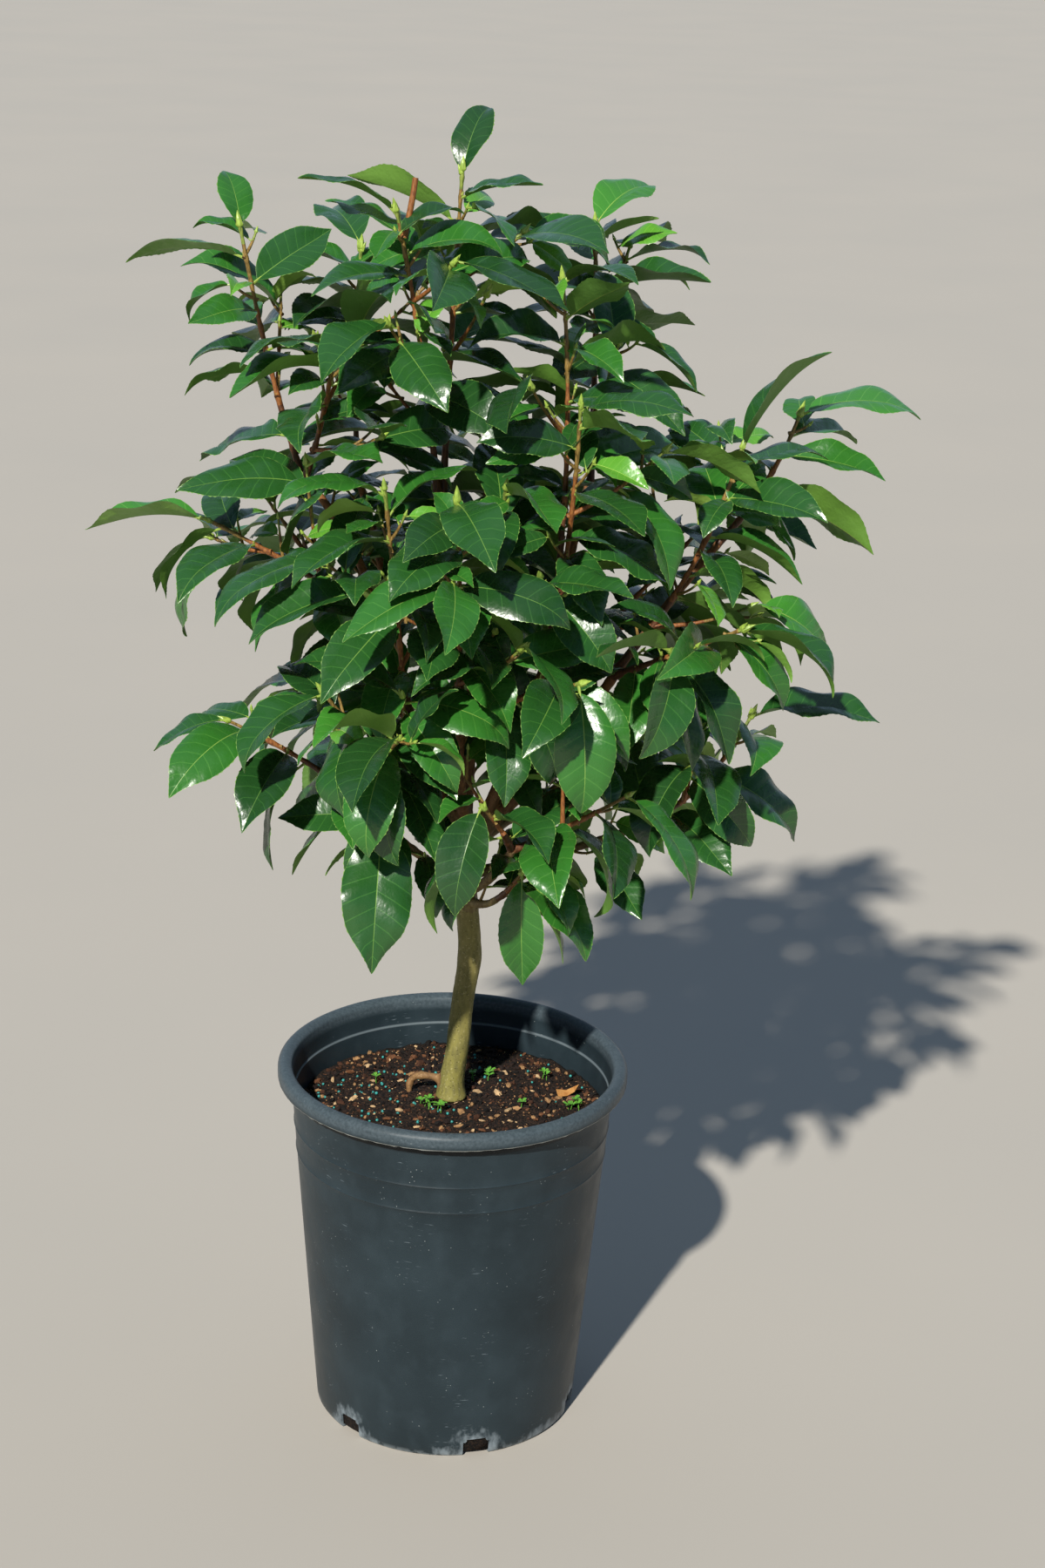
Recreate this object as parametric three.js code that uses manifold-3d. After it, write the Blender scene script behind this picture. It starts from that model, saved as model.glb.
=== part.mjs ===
// A young camellia shrub in a round nursery pot, in millimetres, +Z up.
// The origin is the centre of the pot's flat underside. The front of the shrub faces -Y
// and +X is to the right of it. The shrub forks low on a short trunk into boughs, and each
// bough ends where one or two masses of leafy twigs begin.

import * as THREE from 'three';
import { mergeVertices } from 'three/addons/utils/BufferGeometryUtils.js';
import Module from 'manifold-3d';

const wasm = await Module();
wasm.setup();

// Clear gap between neighbouring pieces.
const GAP = 0.35;
const CUT_GAP = 0.45;

// Pot: a tapered thin-walled tub with a rolled rim and drain notches round its foot.
const POT_HEIGHT = 321;
const POT_FOOT_RADIUS = 113.5;
const POT_NECK_RADIUS = 137.8;
const POT_NECK_HEIGHT = 298;
const POT_RIM_RADIUS = 150;
const POT_WALL = 2.2;
const POT_FLOOR = 2.5;
const POT_FOOT_ROUNDING = 2.5;
const POT_SIDES = 44;
const RIM_BOTTOM = 307.6;
const RIM_EDGE = [1.8, 1.8];
const RIM_THROAT_RADIUS = 139.4;
const RIM_THROAT_HEIGHT = 302;
// Section of the rolled rim: how far inside the rim's radius and how far below the pot's top.
const RIM_ROLL = [
  [0, 5.6],
  [1.6, 2],
  [5.4, 0],
  [12, 3],
  [12.7, 5.5],
];
const RIM_LEDGE = 295.5;
const RIM_LEDGE_RADIUS = 134.4;
const RIM_LEDGE_STEP = [1.1, 0.8];
const NOTCH_COUNT = 6;
const NOTCH_FIRST_AZIMUTH = -15.7;
const NOTCH_WIDTH = 23;
const NOTCH_HEIGHT = 17;
const NOTCH_DEPTH = 16;

// Soil: level round the trunk's foot, a little lower at the pot's wall.
const SOIL_TOP = 286;
const SOIL_EDGE = 277;
const SOIL_LEVEL_RADIUS = 48;

// Trunk: upright at the soil, leaning right to a slight knot, then back to the fork.
const TRUNK_FOOT = SOIL_TOP + GAP;
const TRUNK_LINE = [
  [-1, 0, TRUNK_FOOT],
  [-1, 0, 300],
  [3.5, 0.5, 334],
  [7, 2, 375],
  [11.5, 3, 415],
  [9.5, 3, 450],
  [6, 1, 484],
  [4, 0, 512],
];
const TRUNK_RADIUS = 9.6;
const TRUNK_FLARE = 4.4;
const TRUNK_FLARE_HEIGHT = 13;
const TRUNK_KNOT = 0.9;
const TRUNK_KNOT_HEIGHT = 415;
const TRUNK_KNOT_LENGTH = 12;
const TRUNK_CROTCH = 1.6;
const TRUNK_STEPS = 12;
const TRUNK_STEP_GROWTH = 1.35;
const TRUNK_SIDES = 12;

// A root that loops out of the trunk's foot and dives back into the soil.
const ROOT_LINE = [[-4, 1, 299], [-19, 4, 303], [-32, 8, 300.5], [-37, 10, 293], [-37, 10, TRUNK_FOOT]];
const ROOT_RADIUS = 3.2;
const ROOT_STEPS = 9;
const ROOT_SIDES = 7;

// Boughs: each leaves its parent at a share of the parent's length, passes under its bend
// and ends at its tip. The last two numbers are the radii at its foot and its tip.
const BOUGHS = [
  ['front_left', 'trunk', 0.955, [-22, -18, 540], [-42, -50, 592], 6.2, 4.2],
  ['left_low', 'trunk', 0.86, [-42, -36, 520], [-92, -56, 584], 4.6, 3.2],
  ['left', 'trunk', 0.985, [-32, 10, 600], [-86, -6, 722], 6.8, 4.2],
  ['left_upper', 'left', 0.68, [-74, 26, 756], [-130, 12, 822], 4.6, 3.4],
  ['centre', 'trunk', 0.985, [4, 16, 590], [10, 4, 664], 7.6, 5.0],
  ['centre_upper', 'centre', 0.6, [-22, 24, 720], [-22, 6, 818], 5.4, 3.8],
  ['centre_front', 'centre', 0.2, [-4, -40, 590], [0, -66, 650], 5.0, 3.8],
  ['right_centre', 'trunk', 0.94, [44, -12, 600], [68, -38, 694], 6.4, 4.2],
  ['right', 'right_centre', 0.12, [80, -16, 600], [122, -36, 680], 5.8, 4.2],
  ['right_outer', 'right', 0.74, [150, -8, 716], [204, -4, 784], 4.2, 3.2],
  ['right_low', 'trunk', 0.89, [80, 6, 506], [140, 4, 532], 4.6, 3.2],
  ['front_low', 'trunk', 0.83, [24, -50, 496], [44, -80, 544], 4.8, 3.6],
  ['foot', 'trunk', 0.79, [22, -22, 468], [34, -40, 486], 3.4, 2.9],
  ['back_left', 'trunk', 0.93, [-30, 48, 572], [-64, 72, 650], 6.2, 4.4],
  ['back_left_upper', 'back_left', 0.74, [-66, 92, 730], [-92, 98, 806], 4.4, 3.4],
  ['back_right', 'trunk', 0.92, [46, 46, 572], [88, 76, 650], 6.2, 4.4],
  ['back_right_upper', 'back_right', 0.74, [82, 92, 730], [102, 98, 810], 4.4, 3.4],
  ['back', 'trunk', 0.9, [6, 70, 552], [12, 104, 630], 5.8, 4.2],
  ['back_low_left', 'back_left', 0.16, [-44, 62, 536], [-70, 88, 560], 4.0, 3.2],
  ['back_low_right', 'back_right', 0.14, [66, 62, 534], [100, 90, 554], 4.0, 3.2],
];
const BOUGH_TAPER = 0.8;
const BOUGH_STEPS = 5;
const BOUGH_SIDES = 6;

// Masses of foliage. Each grows from its bough's tip: one stem that passes under its bend and
// ends at its tip, then its leaves, its side twigs, the turn of its first leaf in degrees,
// and its topmost leaf: azimuth, slope, length and the bend over that length.
const MASSES = [
  ['front_left', 'front_left', [-50, -84, 720], [-64, -112, 852], 11, 3, 20, [-165, 30, 92, 60]],
  ['front_left_low', 'front_left', [-74, -92, 628], [-112, -120, 690], 6, 1, 80, [-150, -5, 96, 58]],
  ['left_low', 'left_low', [-138, -64, 620], [-192, -70, 646], 6, 0, 250, [-172, 0, 66, 58]],
  ['left_low_front', 'left_low', [-82, -92, 586], [-56, -114, 572], 4, 0, 200, [-92, -32, 124, 58]],
  ['left_middle', 'left', [-154, -14, 768], [-212, -16, 796], 9, 2, 120, [178, 14, 100, 44]],
  ['left_top', 'left_upper', [-160, 10, 900], [-184, 10, 1030], 11, 1, 190, [110, 74, 58, 50]],
  ['left_inner', 'left_upper', [-112, -26, 880], [-104, -50, 950], 7, 2, 10, [-150, 25, 92, 58]],
  ['centre', 'centre', [24, -30, 750], [30, -80, 846], 10, 2, 60, [-60, 20, 92, 58]],
  ['top_left', 'centre_upper', [-40, -12, 960], [-62, -30, 1050], 11, 3, 150, [190, 46, 84, 58]],
  ['top', 'centre_upper', [-16, 14, 960], [-10, 12, 1078], 12, 3, 206, [62, 76, 78, 62]],
  ['front', 'centre_front', [-2, -110, 740], [-8, -136, 850], 10, 3, 100, [-80, 10, 100, 58]],
  ['front_low', 'centre_front', [44, -108, 680], [96, -144, 706], 6, 1, 255, [-78, -45, 108, 58]],
  ['right_centre', 'right_centre', [84, -76, 810], [84, -98, 918], 11, 2, 330, [-30, 30, 92, 58]],
  ['top_right', 'right_centre', [86, -38, 860], [68, -30, 1002], 12, 2, 200, [-40, 38, 80, 60]],
  ['right_upper', 'right', [190, -56, 770], [214, -56, 880], 11, 2, 60, [10, 70, 108, 36]],
  ['right_middle', 'right', [176, -84, 716], [222, -104, 742], 6, 1, 10, [-20, 5, 98, 58]],
  ['right_outer', 'right_outer', [246, 6, 830], [266, 16, 892], 7, 0, 250, [-4, 30, 104, 58]],
  ['right_low', 'right_low', [206, 8, 556], [244, 26, 636], 8, 1, 330, [-6, 25, 112, 58]],
  ['front_low_right', 'front_low', [92, -98, 572], [138, -104, 604], 7, 1, 280, [-35, -15, 104, 58]],
  ['front_foot', 'front_low', [34, -112, 574], [16, -132, 600], 7, 1, 220, [-115, -36, 94, 58]],
  ['foot', 'foot', [44, -58, 500], [54, -70, 524], 5, 0, 150, [-92, -68, 98, 40]],
  ['back_left', 'back_left', [-122, 100, 720], [-178, 126, 790], 10, 2, 70, [145, 20, 96, 58]],
  ['back_left_top', 'back_left_upper', [-98, 112, 900], [-92, 116, 1000], 10, 2, 0, [120, 40, 92, 58]],
  ['back_right', 'back_right', [156, 104, 720], [232, 128, 800], 10, 2, 130, [25, 15, 98, 58]],
  ['back_right_top', 'back_right_upper', [104, 114, 930], [98, 118, 1026], 10, 2, 30, [50, 45, 92, 58]],
  ['back', 'back', [14, 144, 730], [16, 180, 846], 11, 2, 30, [85, 25, 96, 58]],
  ['back_low', 'back', [24, 148, 650], [40, 190, 670], 6, 1, 110, [80, -20, 98, 58]],
  ['back_low_left', 'back_low_left', [-106, 112, 584], [-144, 132, 622], 7, 1, 200, [140, -5, 98, 58]],
  ['back_low_right', 'back_low_right', [142, 116, 570], [186, 134, 606], 7, 1, 310, [40, -5, 98, 58]],
];

// Wood of the masses: three-sided twigs that taper to a pointed bud.
const STEM_FOOT_RADIUS = 2.7;
const STEM_TIP_RADIUS = 1.3;
const TWIG_FOOT_RADIUS = 1.7;
const TWIG_TIP_RADIUS = 1.1;
const BUD_RADIUS = 2.3;
const BUD_LENGTH = 11;
const BUD_SHOULDER = 0.6;
const TWIG_SIDES = 3;
const MOST_SHOOTS = 8;
const WOOD_SWELL = 1.15;
const TWIG_LENGTH = 84;
const TWIG_LEAVES = 5;
const TWIG_FIRST = 0.06;
const TWIG_LAST = 0.72;
const TWIG_TURN = 70;
const TWIG_LEAF_TURN = 200;
const TWIG_TRY_TURN = 1.3;
const TWIG_OPEN = [48, 64];
const TWIG_SIZE = [0.75, 1.15];
const TWIG_LOWEST_LENGTH = 1.15;
const TWIG_SHORTER_ABOVE = 0.35;
const TWIG_BEND = 0.6;
const TWIG_RISE = 0.22;
const TWIG_LOWEST_SLOPE = -0.1;

// Leaves: oval, pointed, folded along the midrib and arched over their length. Ranges are the
// least and the most that the growth rule deals out.
const LEAF_LENGTH = 92;
const LEAF_WIDTH_SHARE = 0.48;
const LEAF_THICKNESS = 1.4;
const LEAF_ROWS = [0, 0.075, 0.42, 0.76, 1];
const LEAF_FOLD = 17;
const LEAF_SOLID_FOLD = 0.25;
const PETIOLE_SHARE = 0.075;
const PETIOLE_RADIUS = 1.3;
const LEAF_SIZE = [0.84, 1.18];
const LEAF_SLIMNESS = [0.9, 1.1];
const LEAF_ROLL = [-40, 40];
const LEAF_BEND = [34, 84];
const LEAF_BEND_LOW = 1.15;
const LEAF_BEND_HIGH = 0.6;
const CROWN_FOOT = 480;
const CROWN_TOP = 1050;
const LEAF_OPEN_AT_FOOT = 82;
const LEAF_OPEN_AT_TIP = 42;
const LEAF_OPEN_PLAY = [-5, 5];
const LEAF_LEVELLING = 0.72;
const LEAF_SAG = 0.06;
const LEAF_FACE_LEAN = 0.25;
const LEAF_SPACING_PLAY = 0.4;
const STEM_FIRST_LEAF = 0.12;
const TWIG_FIRST_LEAF = 0.25;
const LAST_LEAF = 0.97;
const GOLDEN_ANGLE = 137.5;

// Room that the growth keeps: between leaves of neighbouring masses, between leaves of one
// mass, and between leaves or twigs and other wood. Where a leaf or twig has no room it is
// turned by these degrees, one after the other, and left out when none of them helps.
const LEAF_ROOM = 9;
const OWN_LEAF_ROOM = 6.5;
const OWN_STEM_ROOM = 1;
const WOOD_ROOM = 5;
const TWIG_LIMB_ROOM = 10;
const TWIG_ROOM = 25;
const TWIG_FREE_FROM = 0.2;
const SPACE_REACH = 125;
const TURNS = [0, 26, -26, 52, -52, 78, -78, 104];
const TOP_LEAF_TURNS = 3;
const LEAF_REACH = 0.62;

// Places at which room is measured.
const WOOD_SAMPLES = 24;
const TRUNK_SAMPLES = 48;
const ROOM_ROWS = [0.2, 0.3, 0.4, 0.5, 0.6, 0.7, 0.8, 0.9];
const ROOM_COLUMNS = [-1, -0.5, 0, 0.5, 1];

// Colours, as the plant's and the pot's own.
const POT_FINISH = { color: 0x33383c, roughness: 0.5, metalness: 0 };
const SOIL_FINISH = { color: 0x2b211a, roughness: 0.95, metalness: 0 };
const TRUNK_FINISH = { color: 0x6f6746, roughness: 0.8, metalness: 0 };
const BOUGH_FINISH = { color: 0x6a4a33, roughness: 0.7, metalness: 0 };
const LEAF_FINISH = { color: 0x1f6a2c, roughness: 0.3, metalness: 0 };

const radians = THREE.MathUtils.degToRad;

function vector(place) {
  return new THREE.Vector3(...place);
}

// A repeatable number from 0 to 1 for the whole numbers a, b and c.
function chance(a, b, c) {
  let h = Math.imul(a + 1, 0x9e3779b1) ^ Math.imul(b + 1, 0x85ebca6b) ^ Math.imul(c + 1, 0xc2b2ae35);
  h = Math.imul(h ^ (h >>> 15), 0x2c1b3c6d);
  h = Math.imul(h ^ (h >>> 12), 0x297a2d39);
  return ((h ^ (h >>> 15)) >>> 0) / 4294967296;
}

// A repeatable value between the ends of a range.
function dealt([least, most], a, b, c) {
  return THREE.MathUtils.lerp(least, most, chance(a, b, c));
}

// Geometry to solid and back.

function positionsOnly(geometry) {
  const bare = geometry.clone();
  bare.deleteAttribute('normal');
  bare.deleteAttribute('uv');
  return mergeVertices(bare, 1e-4);
}

function toSolid(geometry) {
  const merged = positionsOnly(geometry);
  const index = Array.from(merged.index.array);
  const faces = [];
  for (let i = 0; i < index.length; i += 3) {
    const [a, b, c] = index.slice(i, i + 3);
    if (a !== b && b !== c && c !== a) faces.push(a, b, c);
  }
  return new wasm.Manifold(new wasm.Mesh({
    numProp: 3,
    vertProperties: new Float32Array(merged.attributes.position.array),
    triVerts: new Uint32Array(faces),
  }));
}

function toGeometry(solid) {
  const mesh = solid.getMesh();
  const geometry = new THREE.BufferGeometry();
  geometry.setAttribute('position', new THREE.BufferAttribute(new Float32Array(mesh.vertProperties), 3));
  geometry.setIndex(new THREE.BufferAttribute(new Uint32Array(mesh.triVerts), 1));
  return geometry;
}

// The largest of the bodies that a cut leaves, with no scraps.
function mainBody(solid) {
  return solid.decompose().reduce((best, body) => (body.volume() > best.volume() ? body : best));
}

function joinAll(solids) {
  let pieces = solids;
  while (pieces.length > 1) {
    const joined = [];
    for (let i = 0; i < pieces.length; i += 2) {
      joined.push(i + 1 < pieces.length ? pieces[i].add(pieces[i + 1]) : pieces[i]);
    }
    pieces = joined;
  }
  return pieces[0];
}

// A direction across a line, the same along the whole of it.
function steadySide(from, to) {
  const run = to.clone().sub(from).normalize();
  return Math.abs(run.y) < 0.8 ? new THREE.Vector3(0, 1, 0) : new THREE.Vector3(1, 0, 0);
}

function frameAt(curve, share, reference) {
  const heading = curve.heading(share);
  const side = new THREE.Vector3().crossVectors(heading, reference).normalize();
  const other = new THREE.Vector3().crossVectors(heading, side);
  return { heading, side, other };
}

// A limb's centre line: it sets out from its start towards its bend and ends at its tip.
function limbLine(start, bend, tip) {
  const bezier = new THREE.QuadraticBezierCurve3(start, bend, tip);
  return {
    at: (share) => bezier.getPoint(share),
    heading: (share) => bend.clone().sub(start).multiplyScalar(1 - share)
      .add(tip.clone().sub(bend).multiplyScalar(share)).normalize(),
    reference: steadySide(start, tip),
    length: (start.distanceTo(tip) + start.distanceTo(bend) + bend.distanceTo(tip)) / 2,
  };
}

function smoothLine(places) {
  const spline = new THREE.CatmullRomCurve3(places.map(vector), false, 'catmullrom', 0.5);
  return {
    at: (share) => spline.getPoint(share),
    heading: (share) => spline.getPoint(Math.min(1, share + 1e-3))
      .sub(spline.getPoint(Math.max(0, share - 1e-3))).normalize(),
    reference: new THREE.Vector3(0, 1, 0),
  };
}

// A tapering tube along a line: a cylinder whose rings are carried to the line's shares.
// Grown tubes are wider and longer all round, and cut their neighbours clear.
function tube(line, rings, sides, grow = 0) {
  const last = rings.length - 1;
  const geometry = new THREE.CylinderGeometry(1, 1, 1, sides, last);
  const position = geometry.attributes.position;
  for (let i = 0; i < position.count; i += 1) {
    const ring = Math.round((position.getY(i) + 0.5) * last);
    const [share, radius] = rings[ring];
    const { heading, side, other } = frameAt(line, share, line.reference);
    const beyond = (ring === last ? grow : 0) - (ring === 0 ? grow : 0);
    const place = line.at(share)
      .addScaledVector(heading, beyond)
      .addScaledVector(side, position.getX(i) * (radius + grow))
      .addScaledVector(other, -position.getZ(i) * (radius + grow));
    position.setXYZ(i, place.x, place.y, place.z);
  }
  return toSolid(geometry);
}

function evenRings(steps, radiusAt) {
  return Array.from({ length: steps + 1 }, (_, i) => [i / steps, radiusAt(i / steps)]);
}

// Pot and soil.

function lathe(outline) {
  const points = outline.map(([r, z]) => new THREE.Vector2(r, z));
  return toSolid(new THREE.LatheGeometry(points, POT_SIDES).rotateX(Math.PI / 2));
}

function wallRadius(height) {
  return THREE.MathUtils.lerp(POT_FOOT_RADIUS, POT_NECK_RADIUS, height / POT_NECK_HEIGHT);
}

// The wall's inside runs straight from the floor to the ledge under the rim.
function innerRadius(height) {
  const foot = wallRadius(POT_FLOOR) - POT_WALL;
  return THREE.MathUtils.lerp(foot, RIM_LEDGE_RADIUS, (height - POT_FLOOR) / (RIM_LEDGE - POT_FLOOR));
}

function potSolid() {
  const outline = [
    [0, 0],
    [POT_FOOT_RADIUS - POT_FOOT_ROUNDING, 0],
    [wallRadius(POT_FOOT_ROUNDING), POT_FOOT_ROUNDING],
    [POT_NECK_RADIUS, POT_NECK_HEIGHT],
    [RIM_THROAT_RADIUS, RIM_THROAT_HEIGHT],
    [RIM_THROAT_RADIUS, RIM_BOTTOM],
    [POT_RIM_RADIUS - RIM_EDGE[0], RIM_BOTTOM],
    [POT_RIM_RADIUS, RIM_BOTTOM + RIM_EDGE[1]],
    ...RIM_ROLL.map(([inset, drop]) => [POT_RIM_RADIUS - inset, POT_HEIGHT - drop]),
    [RIM_LEDGE_RADIUS + RIM_LEDGE_STEP[0], RIM_LEDGE + RIM_LEDGE_STEP[1]],
    [RIM_LEDGE_RADIUS, RIM_LEDGE],
    [innerRadius(POT_FLOOR), POT_FLOOR],
    [0, POT_FLOOR],
  ];
  let pot = lathe(outline);
  for (let i = 0; i < NOTCH_COUNT; i += 1) {
    const azimuth = radians(NOTCH_FIRST_AZIMUTH + (i * 360) / NOTCH_COUNT);
    const notch = new THREE.BoxGeometry(NOTCH_DEPTH, NOTCH_WIDTH, NOTCH_HEIGHT * 2);
    notch.translate(POT_FOOT_RADIUS, 0, 0).rotateZ(azimuth);
    pot = pot.subtract(toSolid(notch));
  }
  return pot;
}

function soilSolid() {
  return lathe([
    [0, POT_FLOOR + GAP],
    [innerRadius(POT_FLOOR) - CUT_GAP, POT_FLOOR + GAP],
    [innerRadius(SOIL_EDGE) - CUT_GAP, SOIL_EDGE],
    [SOIL_LEVEL_RADIUS, SOIL_TOP],
    [0, SOIL_TOP],
  ]);
}

// Trunk, root and boughs.

const trunkLine = smoothLine(TRUNK_LINE);

function trunkRadius(share) {
  const height = trunkLine.at(share).z;
  const flare = TRUNK_FLARE * Math.exp(-(height - TRUNK_FOOT) / TRUNK_FLARE_HEIGHT);
  const knot = TRUNK_KNOT * Math.exp(-(((height - TRUNK_KNOT_HEIGHT) / TRUNK_KNOT_LENGTH) ** 2));
  const crotch = TRUNK_CROTCH * Math.max(0, share * 4 - 3);
  return TRUNK_RADIUS + flare + knot + crotch;
}

// Rings close together in the flare, then even to the fork.
function trunkRings() {
  return Array.from({ length: TRUNK_STEPS + 1 }, (_, i) => {
    const share = (i / TRUNK_STEPS) ** TRUNK_STEP_GROWTH;
    return [share, trunkRadius(share)];
  });
}

const boughs = {};

function growBough([name, parent, share, bend, tip, footRadius, tipRadius]) {
  const parentLine = parent === 'trunk' ? trunkLine : boughs[parent].line;
  const line = limbLine(parentLine.at(share), vector(bend), vector(tip));
  const radiusAt = (s) => THREE.MathUtils.lerp(footRadius, tipRadius, s ** BOUGH_TAPER);
  boughs[name] = { line, radiusAt };
}

BOUGHS.forEach(growBough);

function boughTube(bough, grow) {
  return tube(bough.line, evenRings(BOUGH_STEPS, bough.radiusAt), BOUGH_SIDES, grow);
}

// Growth of the masses. A mass is its shoots, the stem first, and its leaves. The shoots of all
// masses are laid out before any leaf, so that leaves can keep clear of them.

function shootLine(start, bend, tip, footRadius, tipRadius) {
  const line = limbLine(start, bend, tip);
  return { line, radiusAt: (s) => THREE.MathUtils.lerp(footRadius, tipRadius, s) };
}

// The stem starts just far enough ahead of its bough's tip that its slanting foot stays clear
// of it. Two stems on one tip start side by side, each on the side that it leaves to.
function growStem(boughName, bend, tip) {
  const { line } = boughs[boughName];
  const end = line.at(1);
  const heading = line.heading(1);
  const across = (v) => v.clone().addScaledVector(heading, -v.dot(heading));
  const foot = STEM_FOOT_RADIUS * WOOD_SWELL;
  const slant = across(bend.clone().sub(end).normalize()).length();
  const start = end.clone().addScaledVector(heading, GAP + foot * slant);
  const bends = MASSES.filter(([, bough]) => bough === boughName).map((mass) => vector(mass[2]));
  const twinBend = bends.find((other) => !other.equals(bend));
  if (twinBend) start.addScaledVector(across(bend.clone().sub(twinBend)).normalize(), foot + GAP);
  return shootLine(start, bend, tip, STEM_FOOT_RADIUS, STEM_TIP_RADIUS);
}

function woodPoints(piece, samples, from = 0) {
  return Array.from({ length: samples + 1 }, (_, i) => {
    const share = THREE.MathUtils.lerp(from, 1, i / samples);
    return { place: piece.line.at(share), radius: piece.radiusAt(share) };
  });
}

const limbWood = woodPoints({ line: trunkLine, radiusAt: trunkRadius }, TRUNK_SAMPLES);
Object.values(boughs).forEach((bough) => limbWood.push(...woodPoints(bough, WOOD_SAMPLES)));

function clearOfWood(place, wood, room) {
  return wood.every((point) => place.distanceTo(point.place) > point.radius + room);
}

const masses = MASSES.map(([name, boughName, bend, tip, leafCount, twigCount, turn, topLeaf], number) => {
  const stem = growStem(boughName, vector(bend), vector(tip));
  const wood = woodPoints(stem, WOOD_SAMPLES);
  return { name, number, shoots: [{ ...stem, leafCount, turn, topLeaf }], wood, twigCount, turn, leaves: [] };
});

function othersWood(mass) {
  return masses.filter((other) => other !== mass).flatMap((other) => other.wood);
}

// The direction that leaves a line at an opening angle, turned round it by a spiral angle.
function spreading(line, share, open, turn) {
  const { heading, side, other } = frameAt(line, share, line.reference);
  const radial = side.multiplyScalar(Math.cos(turn)).addScaledVector(other, Math.sin(turn));
  return heading.multiplyScalar(Math.cos(open)).addScaledVector(radial, Math.sin(open));
}

// A side twig leaves the stem at an open angle and curves up towards the light.
function twigShoot(mass, order, extraTurn) {
  const stem = mass.shoots[0];
  const share = THREE.MathUtils.lerp(TWIG_FIRST, TWIG_LAST, (order + 0.5) / mass.twigCount);
  const turn = radians(mass.turn + TWIG_TURN + order * GOLDEN_ANGLE + extraTurn * TWIG_TRY_TURN);
  const open = radians(dealt(TWIG_OPEN, mass.number, order, 1));
  const shortening = TWIG_LOWEST_LENGTH - TWIG_SHORTER_ABOVE * share;
  const length = TWIG_LENGTH * dealt(TWIG_SIZE, mass.number, order, 2) * shortening;
  const out = spreading(stem.line, share, open, turn);
  out.z = Math.max(out.z, TWIG_LOWEST_SLOPE);
  const start = stem.line.at(share);
  const bend = start.clone().addScaledVector(out, length * TWIG_BEND);
  const tip = start.clone().addScaledVector(out, length);
  tip.z += length * TWIG_RISE;
  const twig = shootLine(start, bend, tip, TWIG_FOOT_RADIUS, TWIG_TIP_RADIUS);
  return { ...twig, leafCount: TWIG_LEAVES, turn: mass.turn + TWIG_LEAF_TURN * (order + 1) };
}

function growTwig(mass, order, others) {
  for (const extraTurn of TURNS) {
    const twig = twigShoot(mass, order, extraTurn);
    const points = woodPoints(twig, WOOD_SAMPLES, TWIG_FREE_FROM);
    const fits = points.every(({ place }) => clearOfWood(place, limbWood, TWIG_LIMB_ROOM)
      && clearOfWood(place, others, TWIG_ROOM));
    if (fits) {
      mass.shoots.push(twig);
      mass.wood.push(...points);
      return;
    }
  }
}

for (const mass of masses) {
  const others = othersWood(mass);
  for (let order = 0; order < mass.twigCount; order += 1) growTwig(mass, order, others);
}

// A leaf's outline: half its width at a share of its length, past a short stalk.
function leafHalfWidth(leaf, share) {
  const along = (share - PETIOLE_SHARE) / (1 - PETIOLE_SHARE);
  if (along <= 0) return PETIOLE_RADIUS;
  if (along >= 1) return 0;
  const blade = (leaf.width / 2) * Math.sin(Math.PI * along ** 0.9) ** 0.8;
  return Math.max(blade, PETIOLE_RADIUS * (1 - along));
}

// A place on the leaf. The midrib is an arc that bends away from the upper face, and the two
// halves rise from it like an open book. Across runs from -1 to 1, raised is above the face.
function leafPlace(leaf, share, across, raised = 0) {
  const bent = leaf.droop * share;
  const along = (leaf.length * Math.sin(bent)) / leaf.droop;
  const drop = (leaf.length * (1 - Math.cos(bent))) / leaf.droop;
  const half = leafHalfWidth(leaf, share) * across;
  const up = leaf.face.clone().multiplyScalar(Math.cos(bent)).addScaledVector(leaf.out, Math.sin(bent));
  return leaf.root.clone()
    .addScaledVector(leaf.out, along)
    .addScaledVector(leaf.face, -drop)
    .addScaledVector(leaf.side, half * Math.cos(leaf.fold))
    .addScaledVector(up, Math.abs(half) * Math.sin(leaf.fold) + raised);
}

function aimedLeaf(root, out, lift, roll, length, droop, width) {
  const face = lift.clone().addScaledVector(out, -lift.dot(out)).normalize();
  face.applyAxisAngle(out, roll);
  const side = new THREE.Vector3().crossVectors(out, face);
  return { root, out, face, side, length, droop, width, fold: radians(LEAF_FOLD) };
}

// The direction of an azimuth and a slope in degrees.
function aimed(azimuth, slope) {
  const flat = Math.cos(radians(slope));
  const across = radians(azimuth);
  return new THREE.Vector3(flat * Math.cos(across), flat * Math.sin(across), Math.sin(radians(slope)));
}

// Leaves low on the shrub hang, and those near its top stand out straighter.
function bendAt(root) {
  const climb = THREE.MathUtils.clamp((root.z - CROWN_FOOT) / (CROWN_TOP - CROWN_FOOT), 0, 1);
  return THREE.MathUtils.lerp(LEAF_BEND_LOW, LEAF_BEND_HIGH, climb);
}

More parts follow.
